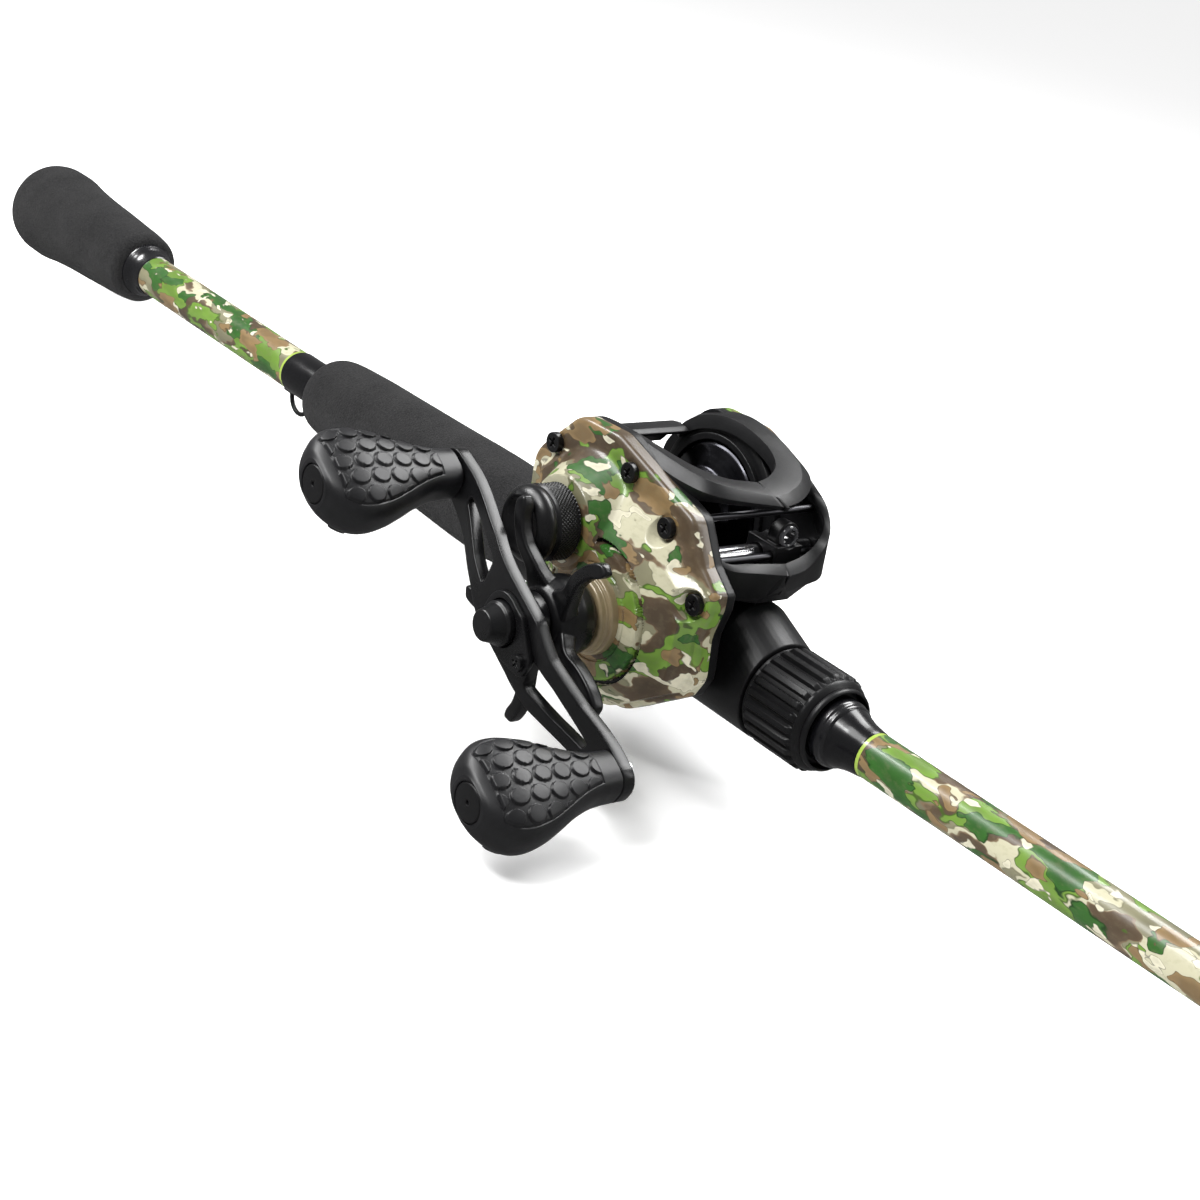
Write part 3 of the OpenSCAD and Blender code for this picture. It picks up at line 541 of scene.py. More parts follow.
def guides():
    """Eight guides and the tip top, with their edges rounded, polished rings and epoxied wraps."""
    for k in range(1, 9):
        add(softened("guide_%d" % k, 0.14, 2), "rod", "black_metal", "guide_%d" % k)
    add(softened("tip_top", 0.12, 2), "rod", "black_metal", "tip_top")
    add(softened("hook_keeper", 0.12, 2), "rod", "black_metal", "hook_keeper")
    parts = []
    for k in range(1, 9):
        low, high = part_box("guide_%d" % k)
        mid = (low.x + high.x) / 2 / MM
        reach = (high.x - low.x) / 2 / MM
        for s in (-1, 1):
            x = mid + s * (reach - 1.3)
            r = blank_r(x - 4)
            parts.append(turned([(r - 0.3, x - 4.6)] + [tuple(p) for p in spline([
                (r + 0.02, x - 4.6), (r + 0.45, x - 3.9), (r + 0.8, x - 2.2), (r + 0.84, x + 1.5),
                (r + 0.5, x + 3.8), (r - 0.02, x + 4.6)], 4)] + [(r - 0.3, x + 4.6)], count=48))
    add(build("guide_thread", parts), "rod", "gloss_black", "guide_wraps")
    add(softened("guide_rings", 0.1, 2), "rod", "ceramic", "guide_rings")


blank()
rear_grip()
fore_grip()
rod_trim()
guides()


# ---------------------------------------------------------------- the reel's side covers
def edge_distance(px, pz, corners):
    """Signed distance into a closed polygon, positive inside."""
    c = np.array(corners, float)
    best = np.full(px.shape, 1e9)
    inside = np.zeros(px.shape, bool)
    for (ax, az), (bx, bz) in zip(c, np.roll(c, -1, 0)):
        dx, dz = bx - ax, bz - az
        t = np.clip(((px - ax) * dx + (pz - az) * dz) / (dx * dx + dz * dz), 0, 1)
        best = np.minimum(best, np.hypot(px - ax - t * dx, pz - az - t * dz))
        crosses = (az > pz) != (bz > pz)
        with np.errstate(divide="ignore", invalid="ignore"):
            inside ^= crosses & (px < ax + (pz - az) * dx / dz)
    return np.where(inside, best, -best)


def cover(name, corners, centre, bore, base, out, edge_height, outer, inner, rows=110, round_edge=1.5):
    """A moulded cover: a shell between two height maps over an outline. outer and inner give heights
    from base along out (+1 or -1, in Y) at points given from the crank axis. The hole at centre has
    the radius bore."""
    outline = resample(rounded(corners, 6), 520)
    mid = np.array(centre, float)
    toward = mid - outline
    toward /= np.linalg.norm(toward, axis=1)[:, None]
    tangent = np.roll(outline, -1, 0) - np.roll(outline, 1, 0)
    inward = np.column_stack([-tangent[:, 1], tangent[:, 0]])
    inward /= np.linalg.norm(inward, axis=1)[:, None]
    inward *= np.sign((inward * toward).sum(1).mean())
    angle = np.unwrap(np.arctan2(outline[:, 1] - mid[1], outline[:, 0] - mid[0]))
    hole = mid + bore * np.column_stack([np.cos(angle), np.sin(angle)])

    def ring(flat, height):
        return [Vector((CRANK.x + p[0], base + out * h, CRANK.z + p[1]))
                for p, h in zip(flat, np.broadcast_to(height, len(flat)))]

    rings = [ring(outline, 0.0), ring(outline, edge_height - round_edge)]
    for a in (20, 40, 60, 80):
        a = math.radians(a)
        rings.append(ring(outline + inward * round_edge * (1 - math.cos(a)),
                          edge_height - round_edge * (1 - math.sin(a))))
    rim = outline + inward * round_edge
    for k in range(rows + 1):
        t = (k / rows) ** 1.05
        flat = rim * (1 - t) + hole * t
        rings.append(ring(flat, outer(flat[:, 0], flat[:, 1])))
    land = outline + inward * 1.2
    for k in range(29):
        t = 1 - k / 28
        flat = land * (1 - t) + hole * t
        rings.append(ring(flat, inner(flat[:, 0], flat[:, 1])))
    return build(name, [stitch(rings, loop=True)], 24)


GEAR_EDGE = [(-24, -18, 10), (-40, 2, 12), (-41.5, 24, 9), (-27, 38.3, 9), (-12, 38.9, 9), (18.2, 30, 5),
             (24.4, 20.9, 0.6), (30.6, 16.2, 1.2), (30.6, 12.5, 2), (28.6, 5, 9), (29.9, -5, 5),
             (27, -10.5, 2), (8, -23.2, 12), (-12, -23.6, 12)]
GEAR_PLATEAU = [(-31, -12), (-37, 3), (-37, 22), (-30, 28.6), (-20, 30.6), (-12, 27.6), (-5, 25.2),
                (3, 24), (12, 23.6), (22, 18.2), (27.2, 14.8), (27.0, 4), (26.5, -8), (7, -20.8),
                (-12, -21)]
LOWER_BLOCK = [(-33, -10), (-36.6, 4), (-30, 12), (-8, 22), (0, 20.6), (7, 21), (15, 21.3), (28.6, 15.4),
               (27.6, 4), (27.1, -8.6), (7.4, -21.8), (-12, -22)]
SCREWS = [(-33, 29), (-4.5, 32.4), (11.4, 25.2), (25.6, 12.4)]
SPOOL_X, SPOOL_Z = SPOOL.x - CRANK.x, SPOOL.z - CRANK.z


def gear_outer(x, z):
    """Heights of the gear side's outer skin above its mating face."""
    rim, deck, block, housing, boss, neck = 4.0, 5.9, 7.6, 11.3, 12.0, 13.0
    h = np.full(x.shape, rim)
    h = np.maximum(h, np.minimum(deck, rim + 0.9 * edge_distance(x, z, GEAR_PLATEAU)))
    h = smooth_max(h, np.minimum(block, rim + 1.1 * edge_distance(x, z, LOWER_BLOCK)), 0.35)
    r = np.hypot(x, z)
    cone = np.minimum(housing, housing - 0.62 * (r - 17.2))
    h = smooth_max(h, cone, 0.7)
    q = np.hypot(x - SPOOL_X, z - SPOOL_Z)
    skirt = np.minimum(neck, neck - 1.6 * (q - 11.0))
    h = smooth_max(h, skirt, 1.6)
    disc = np.maximum(boss - 0.25 * smoothstep(15.4, 16.3, r), np.where(q < 12, h, 0))
    h = np.where(r < 16.3, disc, h)
    groove = smoothstep(0.75, 0.45, np.abs(r - 16.9)) * np.where(q < 12.5, 0, 1)
    h = h - 1.5 * groove
    ring = smoothstep(0.3, 0.12, np.abs(r - 11.6)) * np.where(q < 12.5, 0, 1)
    h = h - 0.35 * ring
    for sx, sz in SCREWS:
        d = np.hypot(x - sx, z - sz)
        pocket = rim - 0.1 + 2.2 * np.maximum(0, d - 3.0)
        h = -smooth_max(-h, -pocket, 0.5)
    return h


def gear_inner(x, z):
    """Heights of the gear side's inner skin: pockets for the gear, the clutch and the pinion."""
    r, q = np.hypot(x, z), np.hypot(x - SPOOL_X, z - SPOOL_Z)
    h = np.full(x.shape, 0.0)
    h = np.maximum(h, 7.0 * smoothstep(21.6, 21.0, r))
    h = np.maximum(h, 11.3 * smoothstep(11.7, 11.2, q))
    return np.where(r < 7.6, 11.6, h)


def side_covers():
    """The camouflaged gear cover with the control knob's neck, the palm cover and the four screws."""
    gear = cover("gear_cover", GEAR_EDGE, (0, 0), 3.4, -20, -1, 4.0, gear_outer, gear_inner)
    neck = fillet([(4.0, -39.4), (6.8, -39.4), (6.8, -32.2), (4.0, -32.2)], 0.3)
    gear.data.materials.append(LOOK["camo_plate"])
    # painted shade: the outward faces of the groove round the star's housing get gloss black, standing in for the
    # shade inside the groove
    gear.data.materials.append(LOOK["gloss_black"])
    for p in gear.data.polygons:
        r = math.hypot(p.center.x / MM - CRANK.x, p.center.z / MM - CRANK.z)
        if 16.5 < r < 17.3 and p.center.y / MM > -31.2 and p.normal.y < 0:
            p.material_index = 1
    add(gear, "rod", "camo_plate", "gear_side_plate")
    thread = build("tension_neck", [turned(neck, "Y", ON_SPOOL, 72)])
    add(thread, "rod", "black_metal")
    edge = [(-26, -8, 12), (-40, 4, 10), (-41.5, 24, 9), (-27, 38.6, 9), (-10, 38.8, 10), (5, 33.6, 8),
            (15.6, 24, 5), (16.6, 16, 5), (2, -2, 10), (-12, -8, 10)]
    deck = [(a * 0.92 - 1, b * 0.92 + 1.2) for a, b, _ in edge]

    def outer(x, z):
        q = np.hypot(x - SPOOL_X, z - SPOOL_Z)
        h = np.minimum(5.4, 3.4 + 0.45 * edge_distance(x, z, deck))
        h = smooth_max(np.maximum(h, 3.4), np.minimum(6.8, 6.8 - 1.1 * (q - 15.0)), 0.8)
        return np.where(q < 13.4, 6.8 - 0.8 * smoothstep(13.4, 12.8, q), h)

    def inner(x, z):
        return 2.8 * smoothstep(13.2, 12.6, np.hypot(x - SPOOL_X, z - SPOOL_Z))

    palm = cover("palm_cover", edge, (SPOOL_X, SPOOL_Z), 5.1, 20, 1, 3.4, outer, inner, 90, 1.3)
    add(palm, "rod", "camo_plate", "palm_side_plate")
    screws = softened("side_plate_screws", 0.12, 2)
    add(screws, "rod", "black_metal", "side_plate_screws", look=LOOK["screw_black"])


# ---------------------------------------------------------------- the frame, its hood and its lip
def ribbon(name, curves, steps, edge=0.35):
    """A closed strip lofted through the same stations of several edge curves, with its edges rounded.
    Curves are lists of (x, y, z) from the crank's X."""
    lines = [spline(c, steps) for c in curves]
    rings = [[Vector((CRANK.x + line[k][0], line[k][1], line[k][2])) for line in lines]
             for k in range(len(lines[0]))]
    return bevel(build(name, [stitch(rings)]), edge, 3, 18)


HOOD_INNER = [(-24, -14.6, 46.2), (-14, -14.7, 46.4), (-4, -14.7, 46.2), (5, -13.6, 45.8),
              (11, -9.5, 45.2), (13.4, -3, 44.8), (13.4, -1, 44.8), (11.5, 4, 45.2), (7, 9.5, 46),
              (0, 13, 47.2), (-9.5, 14.4, 48.4), (-18, 14.4, 48.2), (-27, 14.4, 45.2), (-33, 14.6, 40.6)]
HOOD_TOP = [(-24, -17.4, 47.3), (-14, -17.8, 47.1), (-3, -17.9, 46.6), (8, -17.0, 45.8),
            (14.5, -13, 45.0), (19.6, -0.6, 43.4), (19.6, -0.6, 43.4), (18.2, 5, 43.8), (14, 12, 44.7),
            (6, 17.3, 46.2), (-6, 19.6, 48.3), (-17, 19.7, 48.9), (-29, 19.2, 45.3), (-36.5, 19, 40)]
HOOD_EDGE = [(-24, -20.0, 45.0), (-14, -20.1, 44.9), (-3, -20.1, 44.4), (8, -19.4, 43.6),
             (16.5, -14.8, 42.9), (21.8, 0.8, 41.6), (21.8, 0.8, 41.6), (20.2, 7, 42.0), (16, 13.5, 43),
             (8.7, 18.8, 44.2), (-5, 21.6, 46.2), (-17, 21.8, 46.8), (-30, 21.3, 42.9), (-38, 21, 38)]
HOOD_SKIRT = [(-24, -19.7, 39), (-14, -19.7, 38.6), (-3, -19.5, 38.8), (8, -18.9, 39.8),
              (15.8, -14.2, 41.2), (21.2, 1.0, 40.4), (21.2, 1.0, 40.4), (19.4, 6.8, 40.7),
              (15.2, 12.9, 41.2), (8, 18.0, 41.8), (-5, 20.8, 42.6), (-17, 20.9, 43), (-29.5, 20.6, 39.6),
              (-37.5, 20.2, 36)]
LIP_INNER = [(3, -18.5, 41.2), (8, -18.3, 38.6), (13, -17.9, 36.6), (17.9, -17.6, 32.9),
             (22.8, -15.3, 29.6), (23.4, -8, 28.9), (25.4, 1.2, 28.9), (25.4, 1.2, 28.9),
             (24.4, 7.6, 30.1), (23.0, 12.6, 32.6), (21.6, 15.0, 36.4), (16.6, 16.4, 38.9),
             (10, 16.8, 41.2), (4, 17.6, 43.0)]
LIP_OUTER = [(3, -20.2, 40), (9, -20.2, 37.6), (15, -20.1, 34.6), (20.6, -18.9, 31.0),
             (24.2, -14.6, 28.2), (25.8, -7, 27.4), (27.6, 1.2, 26.8), (27.6, 1.2, 26.8),
             (27.0, 6.9, 27.7), (25.6, 12.4, 31.6), (24.2, 14.8, 35.4), (19.6, 16.8, 39.4),
             (13, 18.6, 41.6), (6, 20.4, 43.2)]
LIP_FOOT = [(4, -20.2, 28), (9, -20.2, 27), (14.5, -20, 25.0), (20, -18.2, 22.4), (23.6, -13.9, 20.8),
            (25.0, -6.6, 20.2), (25.9, 1.2, 21.4), (25.9, 1.2, 21.4), (25.7, 7, 22.5), (24.9, 13.6, 23.3),
            (22.4, 17.2, 24.4), (18.4, 19.4, 26), (12, 20.4, 28), (6, 20.6, 30)]


def shifted(curve, dx=0.0, inward=0.0, dz=0.0):
    return [(x + dx, y - math.copysign(inward, y), z + dz) for x, y, z in curve]


def frame_body():
    """The black frame: walls, foot and pillar, the spool's hood and the lip of the line's window."""
    add(softened("reel_frame", 0.25, 3), "rod", "black_plastic", "reel_frame")
    hood = ribbon("hood", [HOOD_INNER, HOOD_TOP, HOOD_EDGE, HOOD_SKIRT, shifted(HOOD_SKIRT, -1, 2.4, 0.6),
                           shifted(HOOD_INNER, 1, -1.0, -3.2)], 7, 0.25)
    add(hood, "rod", "black_plastic", "front_hood")
    lip = ribbon("window_lip", [LIP_INNER, LIP_OUTER, LIP_FOOT, shifted(LIP_FOOT, -1.1, 0.4, 1.0),
                                shifted(LIP_INNER, -0.2, 0.1, -1.2)], 7, 0.25)
    add(lip, "rod", "black_plastic")
    collar = fillet([(16.8, 14.7), (19.8, 14.7), (21.0, 15.2), (21.4, 15.9), (21.4, 17.8), (16.8, 17.8)],
                    0.3)
    add(build("palm_collar", [turned(collar, "Y", ON_SPOOL, 128)]), "rod", "black_plastic")


def spool_parts():
    """The anodised spool with its thin, rounded rims."""
    r = span("spool", 2)
    r = (r[1] - r[0]) / 2
    rim = [(1.5, -16.6), (3, -16.6), (3, -14.2), (7.6, -13.2), (8.2, -14.5), (r - 0.7, -14.5), (r, -14.0),
           (r, -13.8), (r - 0.5, -13.3), (r - 2.2, -12.6), (10.2, -11), (9.2, -9.6), (9, -8.6)]
    other = [(a, -b) for a, b in rim[:1:-1]]
    profile = fillet(rim + other[:-1] + [(1.5, 13.2)], 0.35)
    obj = build("spool_machined", [turned(profile, "Y", ON_SPOOL, 128)])
    add(obj, "spool", "dark_aluminium", "spool")


def level_wind():
    """The line guide's carriage and ceramic eyelet, the two bars and the worm."""
    add(softened("line_guide", 0.16, 3), "line_guide", "black_plastic", "line_guide")
    low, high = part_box("guide_eyelet")
    mid = (low + high) / 2 / MM
    front = [(2.25 + 0.55 * math.cos(a), 1.7 + 0.55 * math.sin(a)) for a in (0.3, 0.9, 1.57, 2.1, 2.6)]
    ring = [(1.75, -1.7)] + [(r, -h) for r, h in front[::-1]] + front + [(1.75, 1.7)]
    parts = [turned([(r, mid.x + h) for r, h in ring], "X", (0, mid.y, mid.z), 48)]
    add(build("eyelet_ring", parts, 50), "line_guide", "ceramic", "guide_eyelet")
    bars = []
    for x, z, r in ((20.2, 28.6, 1.0), (15, 37.4, 0.9)):
        outline = fillet([(0, -17.5), (r, -17.5), (r, 17.5), (0, 17.5)], 0.05)
        bars.append(turned(outline, "Y", (CRANK.x + x, 0, z), 32))
    dull = turned_metal("bar_metal", (0.07, 0.07, 0.075), 0.34, "Y")
    add(build("carriage_bars", bars), "rod", "stainless", "guide_bars", look=dull)
    add(softened("worm_shaft", 0.12, 2), "worm", "stainless", "worm_shaft", look=dull)


def knurl(pitch_count, depth, low, high):
    """A diamond knurl between two places along the axis."""
    def shape(r, h, a):
        if not low < h < high:
            return r
        turn = a * pitch_count / (2 * math.pi)
        rise = h / (2 * math.pi * r / pitch_count)
        up = abs((turn + rise) % 1 - 0.5) + abs((turn - rise) % 1 - 0.5)
        return r - depth * (1 - up)
    return shape


def crank_side():
    """The cast control knob and the stepped bronze collar behind the star."""
    low, high = -39.4, -34.0
    grip = [(9.25, h) for h in np.linspace(low, high, 46)[::-1]]
    face = [(8.9, -39.7), (8.6, -40.0), (8.6, -40.5), (9.05, -40.8), (9.3, -41.2), (9.3, -42.5),
            (9.0, -43.2), (8.3, -44.1), (7.2, -44.9), (6.6, -45), (6.1, -44.7), (5.6, -44.2), (0, -44.0)]
    profile = [(0, -41), (7.1, -41), (7.1, -33.5), (8.7, -33.5), (9.1, -33.8)] + grip + face
    knob = build("cast_control_knob",
                 [turned(profile, "Y", ON_SPOOL, 464, knurl(58, 0.5, low, high))], 50)
    add(knob, "tension", "black_metal", "tension_knob")
    collar = fillet([(3.4, -32), (3.4, -36.4), (8.7, -36.4), (9.1, -36.0), (9.1, -34.9), (9.3, -34.7),
                     (9.3, -34.2), (9.9, -34.0), (10.1, -33.6), (10.1, -32)], 0.2)
    add(build("bronze_collar", [turned(collar, "Y", ON_CRANK, 120)]), "rod", "bronze_ring",
        "crank_collar")


def star():
    """Five swept arms on a domed hub: each arm leans along the turn and lifts towards its tip."""
    hub = fillet([(3.3, -36.8), (8.2, -36.8), (9.4, -38.4), (9.8, -41), (9.4, -44), (8.2, -46.6),
                  (6.8, -48.0), (3.3, -48.1)], 0.6)
    parts = [turned(hub, "Y", ON_CRANK, 72)]
    # distance from the axis, lean in degrees, Y of the arm's middle, half width, half thickness
    stations = spline([(5, -4, -43.8, 4.6, 2.6), (8.5, -1, -45.2, 3.6, 2.3), (12, 0, -46.2, 2.3, 1.9),
                       (17, 5.5, -46.8, 1.8, 1.75), (22, 4.5, -46.85, 1.75, 1.75),
                       (25.5, 1.5, -46.85, 2.0, 1.7), (27.6, 0, -46.85, 1.5, 1.4),
                       (28.3, -0.5, -46.85, 0.5, 0.6)], 6)
    for k in range(5):
        rings = []
        for r, lean, y, half, thick in stations:
            a = math.radians(47 + 72 * k + lean)
            out, side = Vector((math.cos(a), 0, math.sin(a))), Vector((-math.sin(a), 0, math.cos(a)))
            mid = Vector((CRANK.x, y, CRANK.z)) + out * r
            ring = []
            for i in range(20):
                t = 2 * math.pi * i / 20
                c, s = math.cos(t), math.sin(t)
                c, s = math.copysign(abs(c) ** 0.38, c), math.copysign(abs(s) ** 0.38, s)
                ring.append(mid + side * half * c + Vector((0, 1, 0)) * thick * s)
            rings.append(ring)
        parts.append(stitch(rings))
    add(fuse(build("star_wheel", parts), 0.2, 3), "star", "black_metal", "star_drag")


# ---------------------------------------------------------------- the handle
def at_arm(u, y, w):
    """A point u along the arm from the crank, w across it."""
    p = CRANK + ARM_X * u + ARM_Z * w
    return Vector((p.x, y, p.z))


def arm_height(u, out, flat, end, end_y):
    """The arm's bow: high at the hub, lower at the knobs."""
    return out + (end_y - out) * smoothstep(flat, end, abs(u))


def sheet(name, outline, holes, thickness, edge, place):
    """A flat plate with round-edged holes, bent into place by place(u, w, depth)."""
    curve = bpy.data.curves.new(name, "CURVE")
    curve.dimensions = "2D"
    curve.fill_mode = "BOTH"
    curve.extrude = thickness / 2 - edge
    curve.bevel_depth = edge
    curve.bevel_resolution = 2
    curve.offset = -edge
    for loop in [outline] + holes:
        line = curve.splines.new("POLY")
        line.points.add(len(loop) - 1)
        for point, (x, y) in zip(line.points, loop):
            point.co = (x, y, 0, 1)
        line.use_cyclic_u = True
    temp = bpy.data.objects.new(name, curve)
    mesh = bpy.data.meshes.new_from_object(temp)
    bpy.data.objects.remove(temp)
    bm = bmesh.new()
    bm.from_mesh(mesh)
    bmesh.ops.remove_doubles(bm, verts=bm.verts, dist=1e-4)
    low = min(v.co.x for v in bm.verts)
    high = max(v.co.x for v in bm.verts)
    for x in np.arange(low + 1, high, 1.0):
        geometry = bm.verts[:] + bm.edges[:] + bm.faces[:]
        bmesh.ops.bisect_plane(bm, geom=geometry, plane_co=(x, 0, 0), plane_no=(1, 0, 0), dist=1e-5)
    for v in bm.verts:
        v.co = place(v.co.x, v.co.y, v.co.z) * MM
    bmesh.ops.recalc_face_normals(bm, faces=bm.faces)
    bm.to_mesh(mesh)
    bm.free()
    mesh.name = name
    obj = bpy.data.objects.new(name, mesh)
    bpy.context.scene.collection.objects.link(obj)
    shade(obj, 35)
    return obj


def handle():
    """The bowed double arm with a slot each side, its nut, the retainer and its screw."""
    end = KNOB_R
    half = [(7, 9, 6), (15, 6.2, 10), (27, 4.6, 12), (end + 5.4, 4.8, 4.6), (end + 5.4, -5.4, 4.6),
            (30, -7.6, 10), (18, -9.3, 10), (8, -8.8, 8)]
    loop = [tuple(p) for p in rounded(half + [(-x, -y, r) for x, y, r in half], 8)]
    slot = rounded([(11.8, 1.8, 1.0), (20, 1.4, 10), (33.7, -1.1, 0.9), (33.3, -3.3, 0.9), (24, -4.7, 10),
                    (13.6, -5.6, 1.5)], 5)
    slots = [[tuple(p) for p in slot], [(-x, -y) for x, y in slot]]
    thick = 3.2

    def place(u, w, depth):
        return at_arm(u, arm_height(u, -56.5, 9, end - 3, -50.5) + thick / 2 + depth, w)

    arm = sheet("arm", loop, slots, thick, 0.3, place)
    add(arm, "crank", "black_metal", "handle_arm")
    cone = fillet([(0, -63.5), (3.4, -63.5), (3.7, -63.2), (4.7, -59.8), (5.3, -59.3), (5.3, -56.5),
                   (0, -56.5)], 0.25)
    add(build("arm_nut", [turned(cone, "Y", ON_CRANK, 96)]), "crank", "black_metal", "handle_nut")
    drop = [tuple(p) for p in rounded([(7, 7, 6), (7, -7, 6), (-4, -7, 3.5), (-13.2, -2, 2.4),
                                       (-13.2, 3.4, 2.4), (-4, 7, 3.5)], 8)]
    bore = 5.6
    turns = np.linspace(0, 2 * math.pi, 48, endpoint=False)
    ring = [(bore * math.cos(a), bore * math.sin(a)) for a in turns]
    plate = sheet("retainer_plate", drop, [ring], 1.5, 0.25, lambda u, w, d: at_arm(u, -57.25 + d, w))
    add(plate, "crank", "black_metal", "nut_retainer")
    add(softened("retainer_screw", 0.1, 2), "crank", "black_metal", "retainer_screw",
        look=LOOK["screw_black"])
    sleeve = fillet([(3.05, -48.7), (6.4, -48.7), (6.4, -51), (5.7, -53.4), (3.05, -53.4)], 0.3)
    add(build("arm_sleeve", [turned(sleeve, "Y", ON_CRANK, 72)]), "crank", "black_metal", "arm_spacer")


# distance from the base, half width and half thickness
PADDLE = [(0, 5.5, 5.3), (3, 5.6, 5.4), (7, 6.1, 5.7), (12, 7.7, 6.2), (17, 9.9, 6.8), (22, 11.9, 7.3),
          (27, 13.0, 7.6), (31, 12.7, 7.3), (34, 10.9, 6.7), (36.2, 8.2, 5.8), (37.3, 5.6, 4.9)]


def paddle(tag, sign):
    """A soft paddle knob: a necked body with raised scales on each broad face, and a flush cap."""
    base, count = -51.3, 400
    line = spline(PADDLE, 34)
    u, half, thick = (line[:, k][:, None] for k in range(3))
    t = np.linspace(0, 2 * math.pi, count, endpoint=False)[None, :]
    c = np.sign(np.cos(t)) * np.abs(np.cos(t)) ** 0.72
    s = np.sign(np.sin(t)) * np.abs(np.sin(t)) ** 0.72
    w, d = half * c, thick * s
    # staggered oval scales, the longer way along the knob
    pitch_u, pitch_w, long, wide, rise = 5.4, 4.4, 2.35, 2.0, 0.6
    nearest = np.full(w.shape, 9.0)
    row = np.round(w / pitch_w)
    for k in (-1, 0, 1):
        shift = pitch_u / 2 * np.mod(row + k, 2)
        n = np.round((u - shift) / pitch_u)
        nearest = np.minimum(nearest, np.hypot((u - shift - n * pitch_u) / long,
                                               (w - (row + k) * pitch_w) / wide))
    room = np.minimum(np.minimum(half - 2.2 - np.abs(w), u - 5.5), 34.2 - u)
    field = smoothstep(-0.1, 0.12, room) * (np.abs(s) > 0.3)
    lift = rise * field * smoothstep(1.02, 0.92, nearest)
    border = 0.22 * smoothstep(0.35, 0.0, np.abs(room)) * (np.abs(s) > 0.3)
    d = d + np.sign(d) * (lift - border)
    rings = []
    for k in range(len(line)):
        rings.append([at_arm(sign * KNOB_R + w[k, i], base - line[k, 0], 0) + ARM_Z * d[k, i]
                      for i in range(count)])
    centre, y_end = at_arm(sign * KNOB_R, 0, 0), base - line[-1][0]
    for r, y in ((4.8, y_end), (4.62, y_end + 0.5)):
        mid = Vector((centre.x, y, centre.z))
        rings.append([mid + ARM_X * r * math.cos(a) + ARM_Z * r * math.sin(a) for a in t[0]])
    body = build("paddle_" + tag, [stitch(rings)], 60)
    add(body, "knob_" + tag, "soft_rubber", "knob_" + tag)
    disc = fillet([(0, y_end + 0.9), (0.55, y_end + 0.9), (0.6, y_end + 0.1), (0.9, y_end), (4.2, y_end),
                   (4.5, y_end + 0.3), (4.5, y_end + 0.9), (4.4, y_end + 1.2), (0, y_end + 1.2)], 0.08)
    cap = build("paddle_cap_" + tag, [turned(disc, "Y", (centre.x, 0, centre.z), 72)])
    add(cap, "knob_" + tag, "black_plastic", "knob_cap_" + tag)


# ---------------------------------------------------------------- the seat
def lock_nut():
    """The seat's lock nut: rounded ribs between two plain bands."""
    x0, x1 = span("seat_nut", 0)
    ribs = 24

    def shape(r, h, a):
        if r < 11.2 or not x0 + 0.6 < h < x0 + 17.2:
            return r
        wave = 0.5 + 0.5 * math.cos(a * ribs)
        fade = float(smoothstep(x0 + 0.6, x0 + 1.8, h) * smoothstep(x0 + 17.0, x0 + 15.8, h))
        return 11.3 + 1.0 * fade * float(smoothstep(0.25, 0.6, wave))

    along = [(11.5, h) for h in np.linspace(x0 + 0.5, x0 + 17.2, 44)]
    front = [(11.3, x0 + 17.6), (10.7, x0 + 18.3), (10.1, x0 + 18.6), (10.3, x0 + 19.0), (10.3, x1 - 0.4),
             (9.9, x1), (9.62, x1)]
    profile = [(9.62, x0), (11.2, x0), (11.5, x0 + 0.3)] + along + front
    add(build("ribbed_nut", [turned(profile, count=480, shape=shape)], 50), "seat_nut", "black_plastic",
        "seat_nut")


def seat():
    """The trigger seat and the hood that slides over the reel's foot."""
    add(softened("reel_seat", 0.35, 5), "rod", "black_plastic", "reel_seat")
    add(softened("seat_hood", 0.25, 4), "seat_hood", "black_plastic", "seat_hood")


def thumb_rest():
    """The thumb bar's smooth front, which comes forward over the rear of the spool."""
    profile = rounded([(-36, 39.6, 0.5), (-33, 41.3, 2), (-29.6, 41.5, 1.5), (-27.7, 40.7, 0.4),
                       (-28.2, 40.0, 0.3), (-32, 39.6, 2), (-35, 38.0, 0.5)])
    rings = [[(CRANK.x + x, y, z) for x, z in profile] for y in (-13, 13)]
    plate = build("thumb_rest", [stitch(rings)])
    bevel(plate, 0.3)
    add(plate, "thumb", "black_plastic")


side_covers()
frame_body()
spool_parts()
level_wind()
crank_side()
star()
handle()
paddle("a", 1)
paddle("b", -1)
lock_nut()
seat()
add(softened("thumb_bar", 0.2, 4), "thumb", "black_plastic", "thumb_bar")
thumb_rest()
add(softened("brake_dial", 0.2, 3), "brake", "black_plastic", "brake_dial")


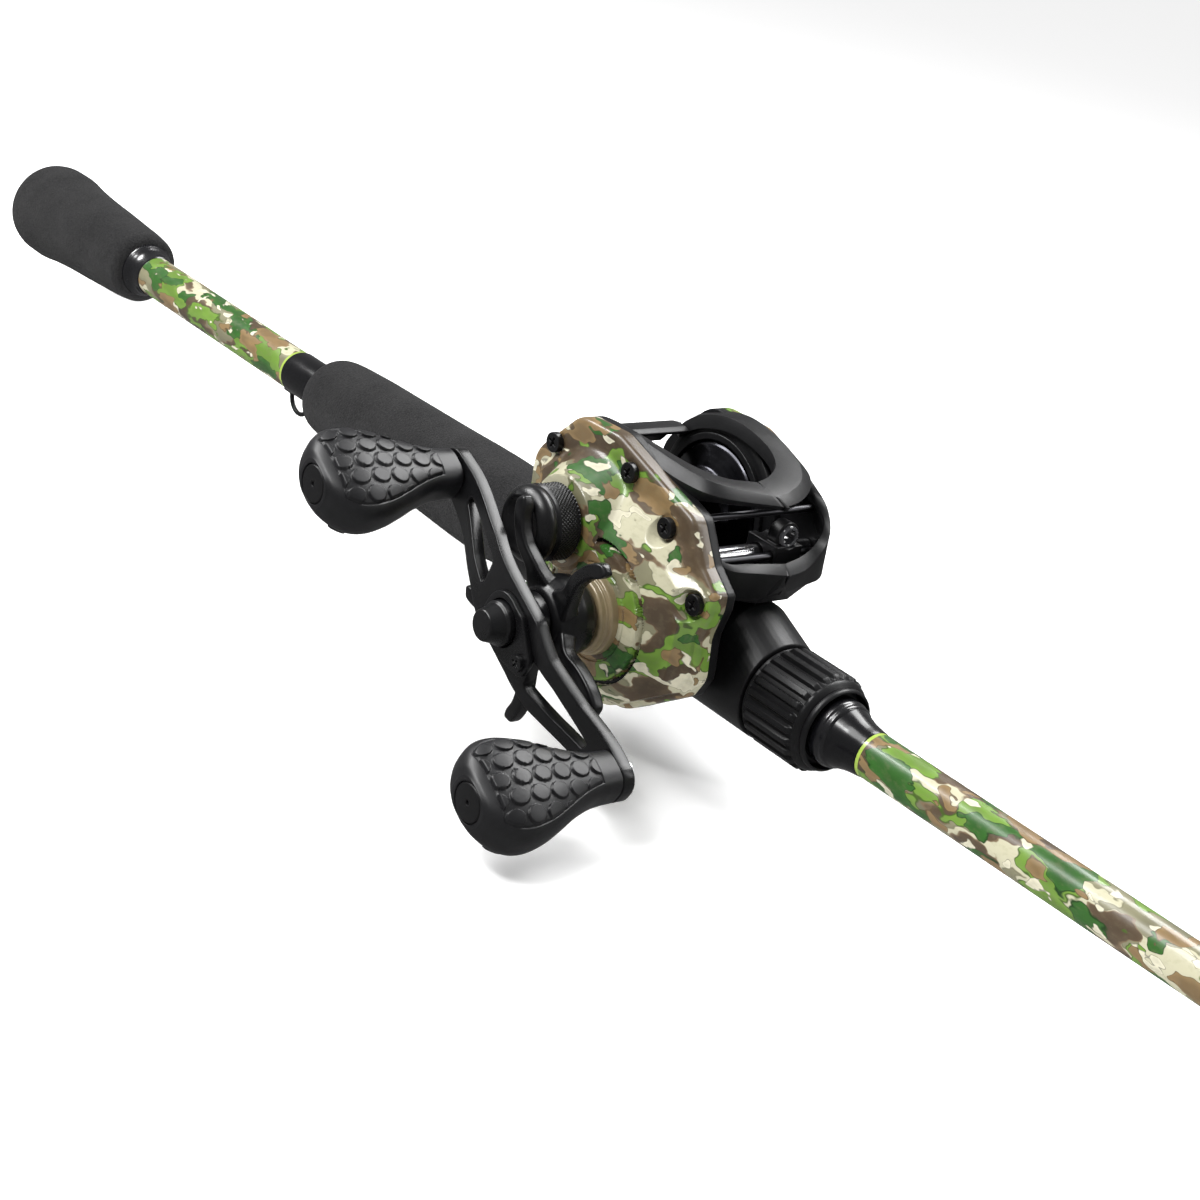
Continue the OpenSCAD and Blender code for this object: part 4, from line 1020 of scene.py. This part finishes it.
# ---------------------------------------------------------------- floor, light and camera
def studio():
    """A plain pale floor under a soft, even light."""
    low, width, gap = cad_box[0].z, 40.0, 0.001
    bpy.ops.mesh.primitive_plane_add(size=width, location=(0.8, 0, low - gap))
    floor = bpy.context.object
    floor.name = "floor"
    paper = moulded("floor_paper", (0.86, 0.86, 0.86), 0.9, 2.0, 0.0, spread=0.0, specular=0.1)
    glow = paper.node_tree.nodes["Principled BSDF"].inputs
    glow["Emission Color"].default_value = (1, 1, 1, 1)
    glow["Emission Strength"].default_value = 0.26
    floor.data.materials.append(paper)
    floor.visible_glossy = False
    scene = bpy.context.scene
    world = bpy.data.worlds.new("studio")
    world.use_nodes = True
    sky = world.node_tree.nodes["Background"].inputs
    sky["Color"].default_value = (1, 1, 1, 1)
    sky["Strength"].default_value = 0.22
    scene.world = world
    scene.view_settings.view_transform = "Standard"
    # name, place from the reel, width, height, power
    for name, place, width, height, power in [("top_box", (-0.05, 0.48, 0.62), 0.55, 0.35, 8),
                                              ("left_box", (-0.62, -0.34, 0.62), 0.3, 0.3, 6),
                                              ("front_box", (0.0, -0.58, 0.74), 0.25, 0.16, 4),
                                              ("right_box", (0.55, 0.55, 0.45), 0.12, 0.5, 1.5)]:
        light = bpy.data.lights.new(name, "AREA")
        light.shape = "RECTANGLE"
        light.size, light.size_y, light.energy = width, height, power
        lamp = bpy.data.objects.new(name, light)
        aim = Vector((CRANK.x, 0, 20)) * MM
        lamp.location = aim + Vector(place)
        lamp.rotation_euler = (aim - lamp.location).to_track_quat("-Z", "Y").to_euler()
        scene.collection.objects.link(lamp)
    sun = bpy.data.lights.new("soft_sun", "SUN")
    sun.energy, sun.angle = 1.9, math.radians(28)
    lamp = bpy.data.objects.new("soft_sun", sun)
    lamp.rotation_euler = Vector((0.35, 0.55, -1.0)).to_track_quat("-Z", "Y").to_euler()
    scene.collection.objects.link(lamp)


def camera():
    """Ahead of the reel on the crank's side, looking down and back along the rod."""
    data = bpy.data.cameras.new("camera")
    data.sensor_width = 36
    data.lens = 67.07
    data.clip_start, data.clip_end = 0.02, 30
    obj = bpy.data.objects.new("camera", data)
    obj.location = Vector((CRANK.x + 358.9, -351.2, 207.0)) * MM
    obj.rotation_euler = [math.radians(a) for a in (67.519, -10.637, 52.544)]
    bpy.context.scene.collection.objects.link(obj)
    bpy.context.scene.camera = obj


studio()
camera()
